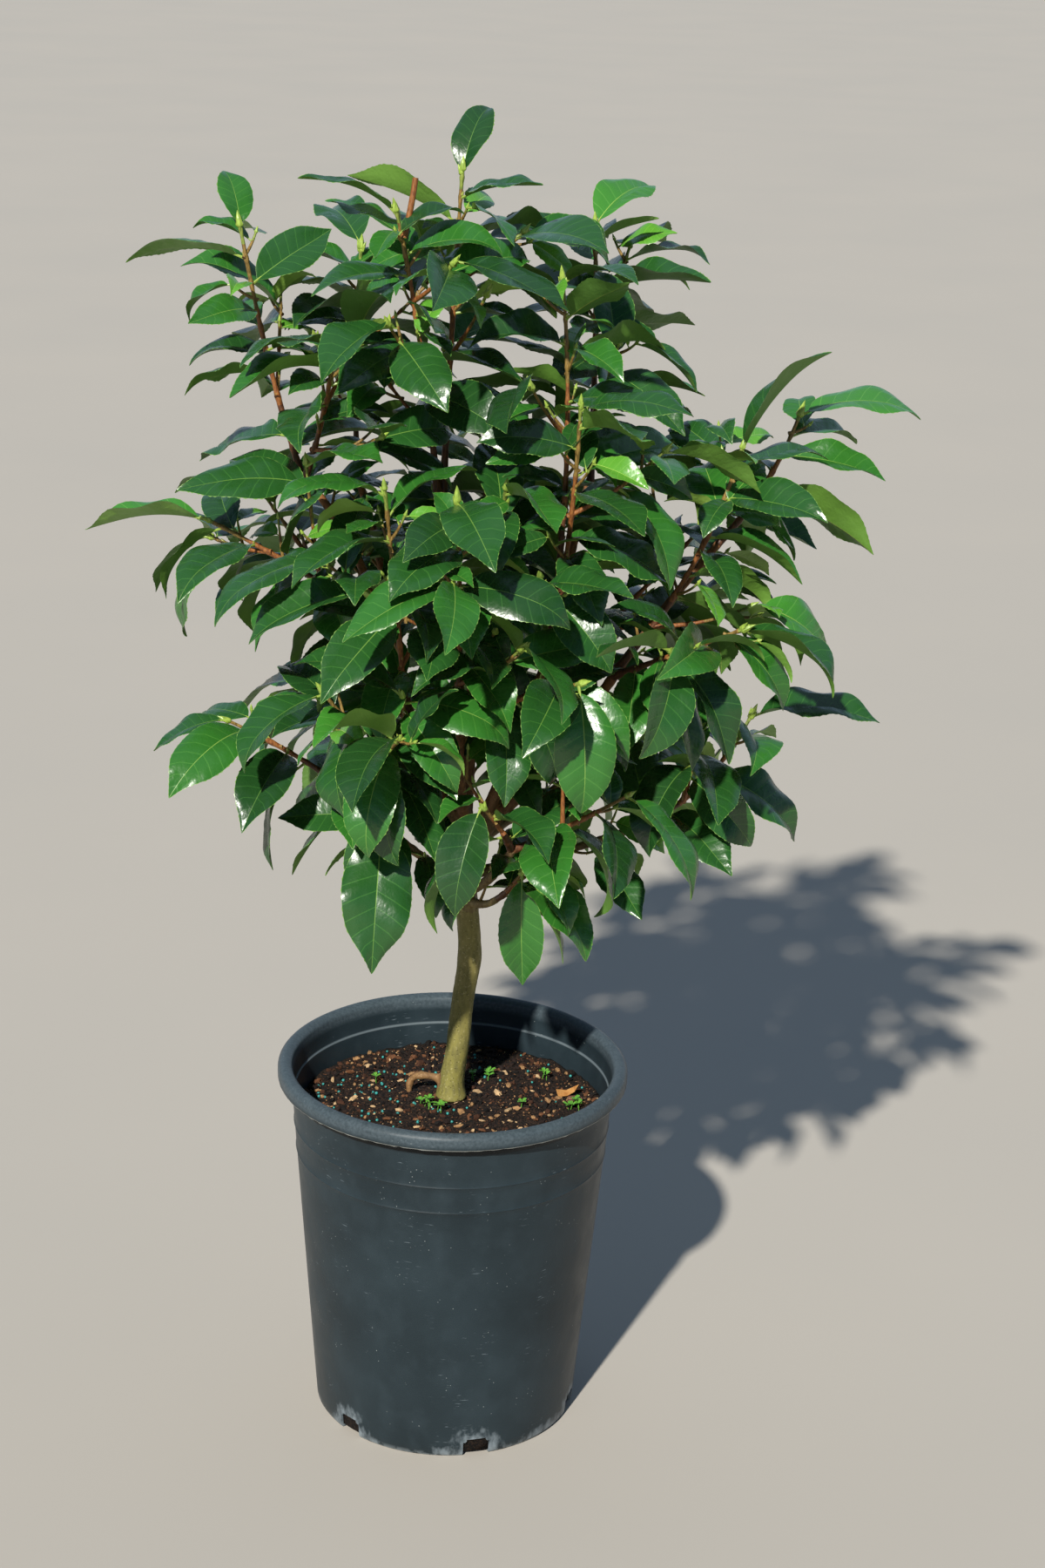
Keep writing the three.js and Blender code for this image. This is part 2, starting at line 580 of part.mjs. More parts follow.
// The leaf that a shoot bears in its order. Leaves spiral round the shoot, spread from it at
// its foot and close up towards its bud, and turn their faces to the light.
function shootLeaf(mass, shootNumber, order, attempt) {
  const shoot = mass.shoots[shootNumber];
  const key = mass.number * MOST_SHOOTS + shootNumber;
  const first = shootNumber === 0 ? STEM_FIRST_LEAF : TWIG_FIRST_LEAF;
  const step = order + LEAF_SPACING_PLAY * chance(key, order, 3);
  const lastStep = shoot.leafCount - 1 + LEAF_SPACING_PLAY;
  const share = THREE.MathUtils.lerp(first, LAST_LEAF, step / lastStep);
  const root = shoot.line.at(share);
  const roll = radians(dealt(LEAF_ROLL, key, order, 5));
  const slimness = LEAF_WIDTH_SHARE * dealt(LEAF_SLIMNESS, key, order, 7);
  const light = new THREE.Vector3(0, 0, 1);
  if (shoot.topLeaf && order === shoot.leafCount - 1 && attempt < TOP_LEAF_TURNS) {
    const [azimuth, slope, length, bend] = shoot.topLeaf;
    const out = aimed(azimuth + TURNS[attempt] / 2, slope);
    return aimedLeaf(root, out, light, roll / 2, length, radians(bend), length * slimness);
  }
  const length = LEAF_LENGTH * dealt(LEAF_SIZE, key, order, 4);
  const droop = radians(dealt(LEAF_BEND, key, order, 6)) * bendAt(root);
  const turn = radians(shoot.turn + order * GOLDEN_ANGLE + TURNS[attempt]);
  const opening = THREE.MathUtils.lerp(LEAF_OPEN_AT_FOOT, LEAF_OPEN_AT_TIP, share);
  const open = radians(opening + dealt(LEAF_OPEN_PLAY, key, order, 8));
  const out = spreading(shoot.line, share, open, turn);
  out.z = out.z * LEAF_LEVELLING - LEAF_SAG;
  out.normalize();
  const lift = light.addScaledVector(shoot.line.heading(share), LEAF_FACE_LEAN);
  return aimedLeaf(root, out, lift, roll, length, droop, length * slimness);
}

function leafSamples(leaf) {
  const places = ROOM_ROWS.flatMap((share) => ROOM_COLUMNS.map((across) => leafPlace(leaf, share, across)));
  return [...places, leafPlace(leaf, 1, 0)];
}

const grown = [];

// Whether a leaf keeps to its mass's space, off the wood and off the leaves before it.
function leafFits(mass, leaf, places, wood) {
  const middle = leafPlace(leaf, 0.5, 0);
  const inReach = (place) => mass.wood.some((point) => place.distanceTo(point.place) < SPACE_REACH);
  const offStem = (place) => clearOfWood(place, mass.wood, OWN_STEM_ROOM);
  if (!places.every((place) => inReach(place) && clearOfWood(place, wood, WOOD_ROOM))) return false;
  if (!places.slice(ROOM_COLUMNS.length).every(offStem)) return false;
  return grown.every((other) => {
    if (middle.distanceTo(other.middle) > (leaf.length + other.leaf.length) * LEAF_REACH) return true;
    const room = other.mass === mass ? OWN_LEAF_ROOM : LEAF_ROOM;
    return places.every((place) => other.places.every((near) => place.distanceTo(near) > room));
  });
}

function growLeaf(mass, shootNumber, order) {
  for (let attempt = 0; attempt < TURNS.length; attempt += 1) {
    const leaf = shootLeaf(mass, shootNumber, order, attempt);
    const places = leafSamples(leaf);
    if (leafFits(mass, leaf, places, mass.foreignWood)) {
      grown.push({ mass, leaf, places, middle: leafPlace(leaf, 0.5, 0) });
      mass.leaves.push(leaf);
      return;
    }
  }
}

// The topmost leaves of all masses come first, because they draw the crown's outline.
for (const mass of masses) {
  mass.foreignWood = [...limbWood, ...othersWood(mass)];
}
for (const mass of masses) {
  growLeaf(mass, 0, mass.shoots[0].leafCount - 1);
}
for (const mass of masses) {
  mass.shoots.forEach((shoot, shootNumber) => {
    const highest = shoot.leafCount - (shootNumber === 0 ? 2 : 1);
    for (let order = highest; order >= 0; order -= 1) growLeaf(mass, shootNumber, order);
  });
}

// The leaf's body: a slim three-sided spindle, flat above with a low keel along the midrib,
// whose rings are carried to the leaf's rows. Its root lies on the shoot's centre line.
function leafSolid(leaf) {
  const rows = LEAF_ROWS.length - 1;
  const flatter = { ...leaf, fold: leaf.fold * LEAF_SOLID_FOLD };
  const geometry = new THREE.SphereGeometry(1, 3, rows);
  const { position, uv } = geometry.attributes;
  for (let i = 0; i < position.count; i += 1) {
    const row = Math.round((1 - uv.getY(i)) * rows);
    const atEnd = row === 0 || row === rows;
    const across = atEnd ? 0 : [-1, 0, 1][Math.round(uv.getX(i) * 3) % 3];
    const keel = row === 1 ? PETIOLE_RADIUS * 2 : LEAF_THICKNESS;
    const place = leafPlace(flatter, LEAF_ROWS[row], across, across === 0 && !atEnd ? -keel : 0);
    position.setXYZ(i, place.x, place.y, place.z);
  }
  return toSolid(geometry);
}

// A tube like the others, whose last ring is a point.
function taperedToPoint(line, rings) {
  const last = rings.length - 1;
  const geometry = new THREE.CylinderGeometry(0, 1, 1, TWIG_SIDES, last);
  const position = geometry.attributes.position;
  for (let i = 0; i < position.count; i += 1) {
    const ring = Math.round((position.getY(i) + 0.5) * last);
    const reach = Math.hypot(position.getX(i), position.getZ(i));
    const [share, radius] = rings[ring];
    const { side, other } = frameAt(line, share, line.reference);
    const grow = reach > 1e-6 ? radius / reach : 0;
    const place = line.at(share)
      .addScaledVector(side, position.getX(i) * grow)
      .addScaledVector(other, -position.getZ(i) * grow);
    position.setXYZ(i, place.x, place.y, place.z);
  }
  return toSolid(geometry);
}

function shootSolid(shoot, number) {
  const bud = BUD_LENGTH / shoot.line.length;
  const shares = number === 0 ? [0, 1 / 3, 2 / 3, 1 - bud] : [0, 1 / 2, 1 - bud];
  const rings = shares.map((share) => [share, shoot.radiusAt(share) * WOOD_SWELL]);
  return taperedToPoint(shoot.line, [...rings, [1 - bud * BUD_SHOULDER, BUD_RADIUS], [1, 0]]);
}

function massSolid(mass) {
  return mainBody(joinAll([...mass.shoots.map(shootSolid), ...mass.leaves.map(leafSolid)]));
}

// Assembly.

const shrub = new THREE.Group();

function addPiece(name, solid, finish) {
  const mesh = new THREE.Mesh(toGeometry(solid), new THREE.MeshStandardMaterial(finish));
  mesh.name = name;
  shrub.add(mesh);
}

addPiece('pot', potSolid(), POT_FINISH);
addPiece('soil', soilSolid(), SOIL_FINISH);

const trunk = tube(trunkLine, trunkRings(), TRUNK_SIDES);
const trunkGrown = tube(trunkLine, trunkRings(), TRUNK_SIDES, CUT_GAP);
addPiece('trunk', trunk, TRUNK_FINISH);

const rootTube = tube(smoothLine(ROOT_LINE), evenRings(ROOT_STEPS, () => ROOT_RADIUS), ROOT_SIDES);
addPiece('surface_root', mainBody(rootTube.subtract(trunkGrown)), BOUGH_FINISH);

// Each bough is cut clear of the trunk and of the boughs before it.
const cutters = [trunkGrown];
for (const [name, bough] of Object.entries(boughs)) {
  const body = cutters.reduce((left, cutter) => left.subtract(cutter), boughTube(bough, 0));
  addPiece(`bough_${name}`, mainBody(body), BOUGH_FINISH);
  cutters.push(boughTube(bough, CUT_GAP));
}

masses.forEach((mass) => addPiece(`mass_${mass.name}`, massSolid(mass), LEAF_FINISH));

export default shrub;
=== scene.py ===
# %% [markdown]
# # A young camellia in its nursery pot
# This lesson dresses a plain solid model of a potted shrub until it looks like the real one.
# The solids come as a fixed frame: a pot, its potting mix, a trunk with boughs, and masses of
# foliage. Every piece made here lies in the same place, in metres, with +Z up and the front of
# the shrub facing -Y, so nothing has to be fitted afterwards.

import math

import bmesh
import bpy
import numpy as np
from mathutils import Matrix, Vector, noise


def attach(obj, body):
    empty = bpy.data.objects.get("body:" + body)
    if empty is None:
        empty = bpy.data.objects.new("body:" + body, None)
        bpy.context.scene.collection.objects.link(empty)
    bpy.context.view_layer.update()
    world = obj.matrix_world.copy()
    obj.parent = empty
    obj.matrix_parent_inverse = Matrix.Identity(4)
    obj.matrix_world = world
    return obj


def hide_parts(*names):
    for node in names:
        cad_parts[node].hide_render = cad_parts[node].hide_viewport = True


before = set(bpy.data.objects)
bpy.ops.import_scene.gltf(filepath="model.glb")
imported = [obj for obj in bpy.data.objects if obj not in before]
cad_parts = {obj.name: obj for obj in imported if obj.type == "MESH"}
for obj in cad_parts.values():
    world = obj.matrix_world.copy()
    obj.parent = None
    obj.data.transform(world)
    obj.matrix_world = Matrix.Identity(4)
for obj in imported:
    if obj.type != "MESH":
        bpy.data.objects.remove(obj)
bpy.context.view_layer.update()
MM = 0.001
print("nodes in the frame:", len(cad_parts))

# %% [markdown]
# ## The camera
# The picture was taken from a little above the shrub, looking down at it. A camera in Blender
# can be turned with angles, or its four-by-four matrix can be set from the directions to the
# right, up and forward. The directions are used here, because pitch, yaw and roll then stay
# readable as three named numbers.

# %% Camera
CAMERA_PLACE = Vector((0.0, -2.2042, 1.3313))
CAMERA_PITCH = math.radians(18.996)
CAMERA_YAW = math.radians(1.341)
CAMERA_ROLL = math.radians(1.91)
LENS_MM = 64.58


def aim(place, pitch, yaw, roll):
    """The matrix of a camera that looks down by pitch, turned by yaw and tilted by roll."""
    level = math.cos(pitch)
    forward = Vector((math.sin(yaw) * level, math.cos(yaw) * level, -math.sin(pitch)))
    flat = Vector((math.cos(yaw), -math.sin(yaw), 0.0))
    upright = flat.cross(forward)
    right = math.cos(roll) * flat + math.sin(roll) * upright
    up = -math.sin(roll) * flat + math.cos(roll) * upright
    return Matrix.Translation(place) @ Matrix((right, up, -forward)).transposed().to_4x4()


scene = bpy.context.scene
camera_data = bpy.data.cameras.new("camera")
camera_data.lens = LENS_MM
camera_data.sensor_width = 36.0
camera = bpy.data.objects.new("camera", camera_data)
camera.matrix_world = aim(CAMERA_PLACE, CAMERA_PITCH, CAMERA_YAW, CAMERA_ROLL)
scene.collection.objects.link(camera)
scene.camera = camera
scene.view_settings.view_transform = "Standard"
print("camera stands", round(CAMERA_PLACE.length, 2), "m from the pot's foot")

# %% [markdown]
# ## Finishes
# A finish is a material built from nodes: noise for what is uneven, ramps for what changes
# colour, and a bump for relief too fine to be worth faces. The same few node patterns come
# back on plastic, bark and leaves, so one small class holds short ways to add them, and a
# second one built on it holds the shader. What is the same all over a piece is set on the
# shader's own sockets, which keeps it in an export.


# %% Colour codes
def shade(code):
    """A colour as the shader wants it, from the hexadecimal code seen on a screen."""
    parts = [int(code[i : i + 2], 16) / 255 for i in (0, 2, 4)]
    return tuple(p / 12.92 if p <= 0.04045 else ((p + 0.055) / 1.055) ** 2.4 for p in parts)


print("a leaf green on screen becomes", [round(c, 3) for c in shade("2a6b34")], "in the shader")


# %% Patterns of a material
class Patterns:
    """A material, and short ways to add the nodes of its patterns."""

    def __init__(self, name):
        self.material = bpy.data.materials.new(name)
        self.material.use_nodes = True
        self.tree = self.material.node_tree
        self.place = self.add("ShaderNodeTexCoord").outputs["Object"]

    def add(self, kind, links=(), **values):
        node = self.tree.nodes.new(kind)
        for socket, value in values.items():
            if hasattr(node, socket):
                setattr(node, socket, value)
            else:
                node.inputs[socket.replace("_", " ")].default_value = value
        for socket, source in links:
            self.tree.links.new(source, node.inputs[socket])
        return node

    def noise(self, per_metre, detail=4.0, stretch=(1.0, 1.0, 1.0), place=None):
        scaled = self.add("ShaderNodeMapping", [(0, place or self.place)], Scale=stretch)
        grain = [(0, scaled.outputs[0])]
        return self.add("ShaderNodeTexNoise", grain, Scale=per_metre, Detail=detail).outputs[0]

    def cells(self, per_metre, feature="F1"):
        spots = [(0, self.place)]
        return self.add("ShaderNodeTexVoronoi", spots, feature=feature, Scale=per_metre).outputs[0]

    def around(self, first, count):
        """0 at evenly spaced turns round the upright axis and 0.5 half way between them."""
        places = self.add("ShaderNodeSeparateXYZ", [(0, self.place)]).outputs
        turn = self.both(self.both(places["Y"], places["X"], "ARCTAN2"), -first, "ADD")
        return self.both(self.both(turn, count / math.tau), 0.5, "PINGPONG")

    def reach(self, low, high):
        """0 within one distance from the upright axis, in millimetres, and 1 beyond another."""
        flat = self.add("ShaderNodeMapping", [(0, self.place)], Scale=(1.0, 1.0, 0.0))
        across = self.add("ShaderNodeVectorMath", [(0, flat.outputs[0])], operation="LENGTH")
        return self.spread(across.outputs["Value"], low * MM, high * MM)

    def height(self, low, high):
        """0 below one height in millimetres and 1 above another."""
        z = self.add("ShaderNodeSeparateXYZ", [(0, self.place)]).outputs["Z"]
        return self.spread(z, low * MM, high * MM)

    def spread(self, source, low, high, to_low=0.0, to_high=1.0):
        span = {"From Min": low, "From Max": high, "To Min": to_low, "To Max": to_high}
        node = self.add("ShaderNodeMapRange", [(0, source)])
        for socket, value in span.items():
            node.inputs[socket].default_value = value
        return node.outputs[0]

    def both(self, first, second, operation="MULTIPLY"):
        node = self.add("ShaderNodeMath", [(0, first)], operation=operation)
        if isinstance(second, float):
            node.inputs[1].default_value = second
        else:
            self.tree.links.new(second, node.inputs[1])
        return node.outputs[0]

    def blend(self, factor, first, second):
        """A colour between two, each a plain colour or another blend."""
        node = self.add("ShaderNodeMix", [(0, factor)], data_type="RGBA")
        for socket, colour in ((6, first), (7, second)):
            if isinstance(colour, tuple):
                node.inputs[socket].default_value = (*colour, 1.0)
            else:
                self.tree.links.new(colour, node.inputs[socket])
        return node.outputs[2]


print("patterns:", [way for way in vars(Patterns) if not way.startswith("_")])


# %% Finish class
class Finish(Patterns):
    """A material with one glossy-and-dull shader, which its patterns colour and roughen."""

    def __init__(self, name, colour, roughness, **sockets):
        super().__init__(name)
        self.material.diffuse_color = (*colour, 1.0)
        self.shader = self.tree.nodes["Principled BSDF"]
        self.shader.inputs["Base Color"].default_value = (*colour, 1.0)
        self.shader.inputs["Roughness"].default_value = roughness
        for socket, value in sockets.items():
            self.shader.inputs[socket.replace("_", " ")].default_value = value

    def colour(self, source):
        self.tree.links.new(source, self.shader.inputs["Base Color"])
        return self

    def rough(self, source, low, high):
        self.tree.links.new(self.spread(source, 0.3, 0.7, low, high), self.shader.inputs["Roughness"])
        return self

    def bump(self, source, depth_mm, strength=1.0):
        relief = [("Height", source)]
        node = self.add("ShaderNodeBump", relief, Strength=strength, Distance=depth_mm * MM)
        self.tree.links.new(node.outputs[0], self.shader.inputs["Normal"])
        return self


print("finishing touches:", [way for way in vars(Finish) if not way.startswith("_")])

# %% [markdown]
# ## The floor and the light
# The floor is one big plane in a dull, pale stone colour, so wide that its edge stays out of
# the picture. A trace of noise keeps it from looking like paper.

# %% Floor
FLOOR_SIZE = 80.0

bpy.ops.mesh.primitive_plane_add(size=FLOOR_SIZE, location=(0, 0, 0))
floor = bpy.context.object
floor.name = "floor"
floor_finish = Finish("floor_finish", shade("b0aaa1"), 0.85)
worn = floor_finish.noise(1.5, 6)
floor_finish.colour(floor_finish.blend(worn, shade("b4ada3"), shade("aca79f")))
floor.data.materials.append(floor_finish.material)
print("floor:", FLOOR_SIZE, "m wide")

# %% [markdown]
# A potted shrub stands in low sun from the front left. In a studio that is one strong warm
# lamp, and one wide and weak blue lamp that stands for the sky. Sun lamps light the whole
# floor evenly, and their angle sets how soft the shadows are, so they are used in place of
# area lamps, which would fade with distance.

# %% Lamps
KEY_DIRECTION = Vector((0.42, 1.18, -1.0))
SKY_DIRECTION = Vector((-0.15, -0.75, -1.0))
KEY_STRENGTH = 5.4
SKY_STRENGTH = 0.62


def sun_lamp(name, direction, strength, softness, colour):
    lamp = bpy.data.lights.new(name, "SUN")
    lamp.energy = strength
    lamp.angle = math.radians(softness)
    lamp.color = colour
    holder = bpy.data.objects.new(name, lamp)
    holder.rotation_euler = direction.to_track_quat("-Z", "Y").to_euler()
    scene.collection.objects.link(holder)


sun_lamp("key_lamp", KEY_DIRECTION, KEY_STRENGTH, 1.6, (1.0, 0.965, 0.89))
sun_lamp("sky_lamp", SKY_DIRECTION, SKY_STRENGTH, 110.0, (0.62, 0.80, 1.0))

# %% [markdown]
# Light also comes back from all round. It fills the shadows and shines in the glossy leaves. A
# single background colour would do the first, but it makes gloss look like fog. A ramp over
# the height of each direction gives a pale band low down and a deep blue overhead.

# %% Glow
GLOW_STRENGTH = 1.0
GLOW_STOPS = [(0.0, (0.50, 0.46, 0.41)), (0.08, (0.34, 0.38, 0.42))]
GLOW_STOPS += [(0.3, (0.12, 0.20, 0.34)), (0.6, (0.02, 0.04, 0.08))]


def studio_glow():
    """A glow that is pale at the level of the floor and turns to a deep blue overhead."""
    glow = bpy.data.worlds.new("studio_glow")
    glow.use_nodes = True
    nodes, links = glow.node_tree.nodes, glow.node_tree.links
    way = nodes.new("ShaderNodeSeparateXYZ")
    ramp = nodes.new("ShaderNodeValToRGB")
    links.new(nodes.new("ShaderNodeTexCoord").outputs["Generated"], way.inputs[0])
    links.new(way.outputs["Z"], ramp.inputs[0])
    links.new(ramp.outputs[0], nodes["Background"].inputs["Color"])
    for _ in GLOW_STOPS[2:]:
        ramp.color_ramp.elements.new(0.5)
    for stop, (position, colour) in zip(ramp.color_ramp.elements, GLOW_STOPS):
        stop.position, stop.color = position, (*colour, 1.0)
    nodes["Background"].inputs["Strength"].default_value = GLOW_STRENGTH
    return glow


scene.world = studio_glow()
print("stops of the glow:", len(GLOW_STOPS))

# %% [markdown]
# ## From numbers to pieces
# Plants and pots are easier to compute than to push into shape by hand. Corners are worked
# out with numpy in millimetres and handed to Blender as one mesh. One helper does that last
# step for every piece: it scales to metres, gives each face its finish, smooths the shading
# except at real edges, says which body the piece rides on and hides the solids it stands for.

# %% Piece helper
made = []


def make_piece(name, corners, faces, finishes, nodes=(), face_finish=None, crease=50.0):
    mesh = bpy.data.meshes.new(name)
    mesh.from_pydata((np.asarray(corners) * MM).tolist(), [], faces)
    for finish in finishes:
        mesh.materials.append(finish.material)
    if face_finish is not None:
        mesh.polygons.foreach_set("material_index", np.asarray(face_finish, np.int32))
    mesh.shade_smooth()
    mesh.set_sharp_from_angle(angle=math.radians(crease))
    mesh.update()
    piece = bpy.data.objects.new(name, mesh)
    scene.collection.objects.link(piece)
    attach(piece, "root")
    if nodes:
        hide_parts(*nodes)
    made.append(piece)
    triangles = sum(len(p.vertices) - 2 for p in mesh.polygons)
    print(f"{name}: {len(mesh.polygons)} faces, {triangles} triangles")
    return piece


print("pieces so far:", len(made))

# %% [markdown]
# Three smaller helpers come back later. One lets modifiers do their work and hands over the
# finished mesh, one joins rings of corners into a tube, and a heap gathers thousands of small
# shapes into one mesh, because a thousand objects are slow and one mesh is not.


# %% Modifiers, rings and heaps
def applied(piece, *modifiers):
    """A piece's mesh once these modifiers have done their work."""
    for kind, values in modifiers:
        modifier = piece.modifiers.new(kind.lower(), kind)
        for key, value in values.items():
            setattr(modifier, key, value)
    bpy.context.view_layer.update()
    worked_out = piece.evaluated_get(bpy.context.evaluated_depsgraph_get())
    changed = bpy.data.meshes.new_from_object(worked_out)
    piece.modifiers.clear()
    return changed


def ring_faces(rings, sides, first=0):
    """The four-cornered faces of a tube whose rings follow one another."""
    ring, side = np.meshgrid(np.arange(rings - 1), np.arange(sides), indexing="ij")
    a = first + ring * sides + side
    b = first + ring * sides + (side + 1) % sides
    return np.stack([a, b, b + sides, a + sides], -1).reshape(-1, 4).tolist()


class Heap:
    """Many small shapes of one kind, gathered into one mesh."""

    def __init__(self):
        self.corners, self.faces, self.kinds, self.count = [], [], [], 0

    def put(self, corners, faces, kinds=0):
        self.corners.append(corners)
        self.faces += [[self.count + corner for corner in face] for face in faces]
        self.kinds += [kinds] * len(faces) if isinstance(kinds, int) else list(kinds)
        self.count += len(corners)

    def piece(self, name, finishes, slot, nodes=(), crease=50.0):
        corners = np.concatenate(self.corners)
        return make_piece(name, corners, self.faces, finishes, nodes, self.kinds, crease)


print("faces of a tube with 3 rings and 6 sides:", len(ring_faces(3, 6)))

# %% [markdown]
# ## Chance that repeats
# Nature looks random, but a lesson has to give the same plant each time. In place of a random
# generator, whose numbers depend on how many were drawn before, a small hash turns three whole
# numbers into one value from 0 to 1. Leaf 4 of twig 2 then always gets the same turn, and the
# plain solids, made by the same rule, put that leaf in the same place. The last of the three
# numbers only keeps one kind of thing, or one trait of it, apart from the others.

# %% Repeatable chance
WORD = 0xFFFFFFFF


def chance(a, b, c):
    h = (((a + 1) * 0x9E3779B1) ^ ((b + 1) * 0x85EBCA6B) ^ ((c + 1) * 0xC2B2AE35)) & WORD
    h = ((h ^ (h >> 15)) * 0x2C1B3C6D) & WORD
    h = ((h ^ (h >> 12)) * 0x297A2D39) & WORD
    return (h ^ (h >> 15)) / (WORD + 1)


def dealt(span, a, b, c):
    return span[0] + (span[1] - span[0]) * chance(a, b, c)


def unit(v):
    return v / np.linalg.norm(v)


print("three draws:", [round(chance(1, 2, n), 3) for n in range(3)])

# %% [markdown]
# ## The pot
# The pot is a thin tub of dark plastic, wider at the top, with a rolled rim, two moulded rings
# and a ledge inside. It could be built up from cylinders, but all of it is round, so one
# profile of radius and height is worked out here and swept round in the next cell.

# %% Pot profile
FOOT_RADIUS, NECK_RADIUS, NECK_HEIGHT = 113.5, 137.8, 298.0
WALL, FLOOR_THICKNESS = 2.2, 2.5
RIM_RADIUS, THROAT_RADIUS, RIM_BOTTOM, POT_HEIGHT = 150.0, 139.4, 307.6, 321.0
LEDGE, LEDGE_RADIUS = 295.5, 134.4
POT_SIDES = 240
MOULDED_RINGS = (267.0, 243.0)
# The rolled rim: how far inside the rim's radius and how far below the top its section runs.
ROLL = [(0.0, 5.6), (0.25, 4.2), (0.9, 2.9), (2.1, 1.5), (3.8, 0.45), (5.6, 0.05), (7.2, 0.2)]
ROLL += [(8.8, 0.75), (10.4, 1.6), (11.4, 2.4), (12.1, 3.3), (12.5, 4.3), (12.8, 5.8)]


def wall_radius(z):
    return FOOT_RADIUS + (NECK_RADIUS - FOOT_RADIUS) * z / NECK_HEIGHT


def inside_radius(z):
    foot = wall_radius(FLOOR_THICKNESS) - WALL
    return foot + (LEDGE_RADIUS - foot) * (z - FLOOR_THICKNESS) / (LEDGE - FLOOR_THICKNESS)


def pot_profile():
    """Radius and height from the middle of the underside, up outside, over the rim and down inside."""
    outside = [(0.0, 0.0), (60.0, 0.0), (FOOT_RADIUS - 4.5, 0.0), (FOOT_RADIUS - 1.6, 0.7)]
    heights = list(np.linspace(3.2, NECK_HEIGHT, 40))
    for ring in MOULDED_RINGS:
        heights = [z for z in heights if abs(z - ring) > 3.0]
        heights += [ring - 1.6, ring - 0.7, ring, ring + 0.7, ring + 1.6]
    for z in sorted(heights):
        ridge = max(max(0.0, 1.0 - abs(z - ring) / 1.5) for ring in MOULDED_RINGS)
        outside.append((wall_radius(z) + 0.75 * ridge, z))
    throat = [(138.6, 300.0), (THROAT_RADIUS, 302.0), (THROAT_RADIUS, 307.9)]
    underside = [(142.0, 308.5), (146.0, 308.4), (147.4, 307.7), (149.3, RIM_BOTTOM), (149.9, 308.6)]
    roll = [(RIM_RADIUS, 311.0)] + [(RIM_RADIUS - inset, POT_HEIGHT - drop) for inset, drop in ROLL]
    inside = [(136.8, 310.0), (136.1, 303.0), (135.6, 297.6), (135.2, 296.2), (LEDGE_RADIUS, LEDGE)]
    inside += [(inside_radius(z) - 0.3, z) for z in np.linspace(292.0, FLOOR_THICKNESS, 14)]
    return outside + throat + underside + roll + inside + [(0.0, FLOOR_THICKNESS)]


profile = np.array(pot_profile())
print("profile points:", len(profile))

# %% [markdown]
# The profile goes round the axis like clay on a wheel. A Screw modifier would do the same, but
# the corners are at hand here, and noise can take the roundness off them a little: moulded
# plastic is never quite true, and the lower edge of its roll is ragged.

# %% Pot mesh
RAGGED_BELOW, RAGGED_ABOVE = 307.4, 309.0


def swept(profile, sides):
    """The corners and faces of a profile swept round, closed to a point at both its ends."""
    turn = np.arange(sides) * 2 * math.pi / sides
    body = profile[1:-1]
    x = body[:, :1] * np.cos(turn)
    y = body[:, :1] * np.sin(turn)
    z = np.repeat(body[:, 1:], sides, axis=1)
    corners = np.stack([x, y, z], -1).reshape(-1, 3)
    faces = ring_faces(len(body), sides)
    low, high = len(corners), len(corners) + 1
    last = (len(body) - 1) * sides
    faces += [[low, (i + 1) % sides, i] for i in range(sides)]
    faces += [[high, last + i, last + (i + 1) % sides] for i in range(sides)]
    ends = [[0, 0, profile[0, 1]], [0, 0, profile[-1, 1]]]
    return np.concatenate([corners, ends]), faces


def uneven_pot(corners):
    for corner in corners:
        x, y, z = corner
        reach = math.hypot(x, y)
        if reach < 1.0:
            continue
        slow = noise.noise(Vector((x, y, z * 0.35)) * 0.012)
        corner[:2] *= 1 + 0.35 * slow * min(1.0, z / 60.0) / reach
        if RAGGED_BELOW < z < RAGGED_ABOVE and reach > 143.0:
            corner[2] += 0.9 * noise.noise(Vector((x, y, 0.0)) * 0.22)
    return corners


pot_corners, pot_faces = swept(profile, POT_SIDES)
pot_corners = uneven_pot(pot_corners)
print("pot corners:", len(pot_corners))

# %% [markdown]
# The plastic is charcoal with a blue cast, satin where it is clean. Nursery pots get knocked
# about, so the rim and the foot are rubbed to a lighter grey, the wall carries fine scratches
# and pale specks, and dust clings near the ground. All of that is noise between limits.

# %% Pot plastic
NOTCH_COUNT, NOTCH_FIRST = 6, math.radians(-15.7)

plastic = Finish("pot_plastic_finish", shade("222d33"), 0.42, Specular_IOR_Level=0.22)
cloud = plastic.noise(11, 6)
haze = plastic.noise(46, 7, (1.0, 1.0, 0.8))
scratches = plastic.noise(1100, 2, (0.2, 0.2, 1.0))
specks = plastic.spread(plastic.cells(240), 0.05, 0.12, 1.0, 0.0)
rare = plastic.spread(plastic.noise(45, 2), 0.58, 0.62)
rim_wear = plastic.spread(plastic.noise(420, 6), 0.30, 0.66, 0.45, 1.0)
streaks = plastic.spread(plastic.noise(900, 3, (0.12, 0.12, 1.0)), 0.66, 0.72)
hairlines = plastic.both(streaks, plastic.spread(plastic.noise(28, 3), 0.55, 0.62))
rubbed_rim = plastic.both(plastic.height(308, 313), rim_wear)
worn_edge = plastic.both(plastic.height(308.6, 307.9), plastic.height(307.0, 307.4))
worn_edge = plastic.both(worn_edge, plastic.reach(142.0, 143.0))
ledge_line = plastic.both(plastic.height(294.6, 295.3), plastic.height(297.2, 296.2))
ledge_line = plastic.both(ledge_line, plastic.reach(136.9, 136.5))
ragged = plastic.noise(170, 9, (1.0, 1.0, 0.6))
by_notch = plastic.spread(plastic.around(NOTCH_FIRST, NOTCH_COUNT), 0.34, 0.04)
near_notch = plastic.both(plastic.height(44, 6), by_notch)
patchy = plastic.spread(plastic.noise(16, 3), 0.36, 0.60, 0.25, 1.0)
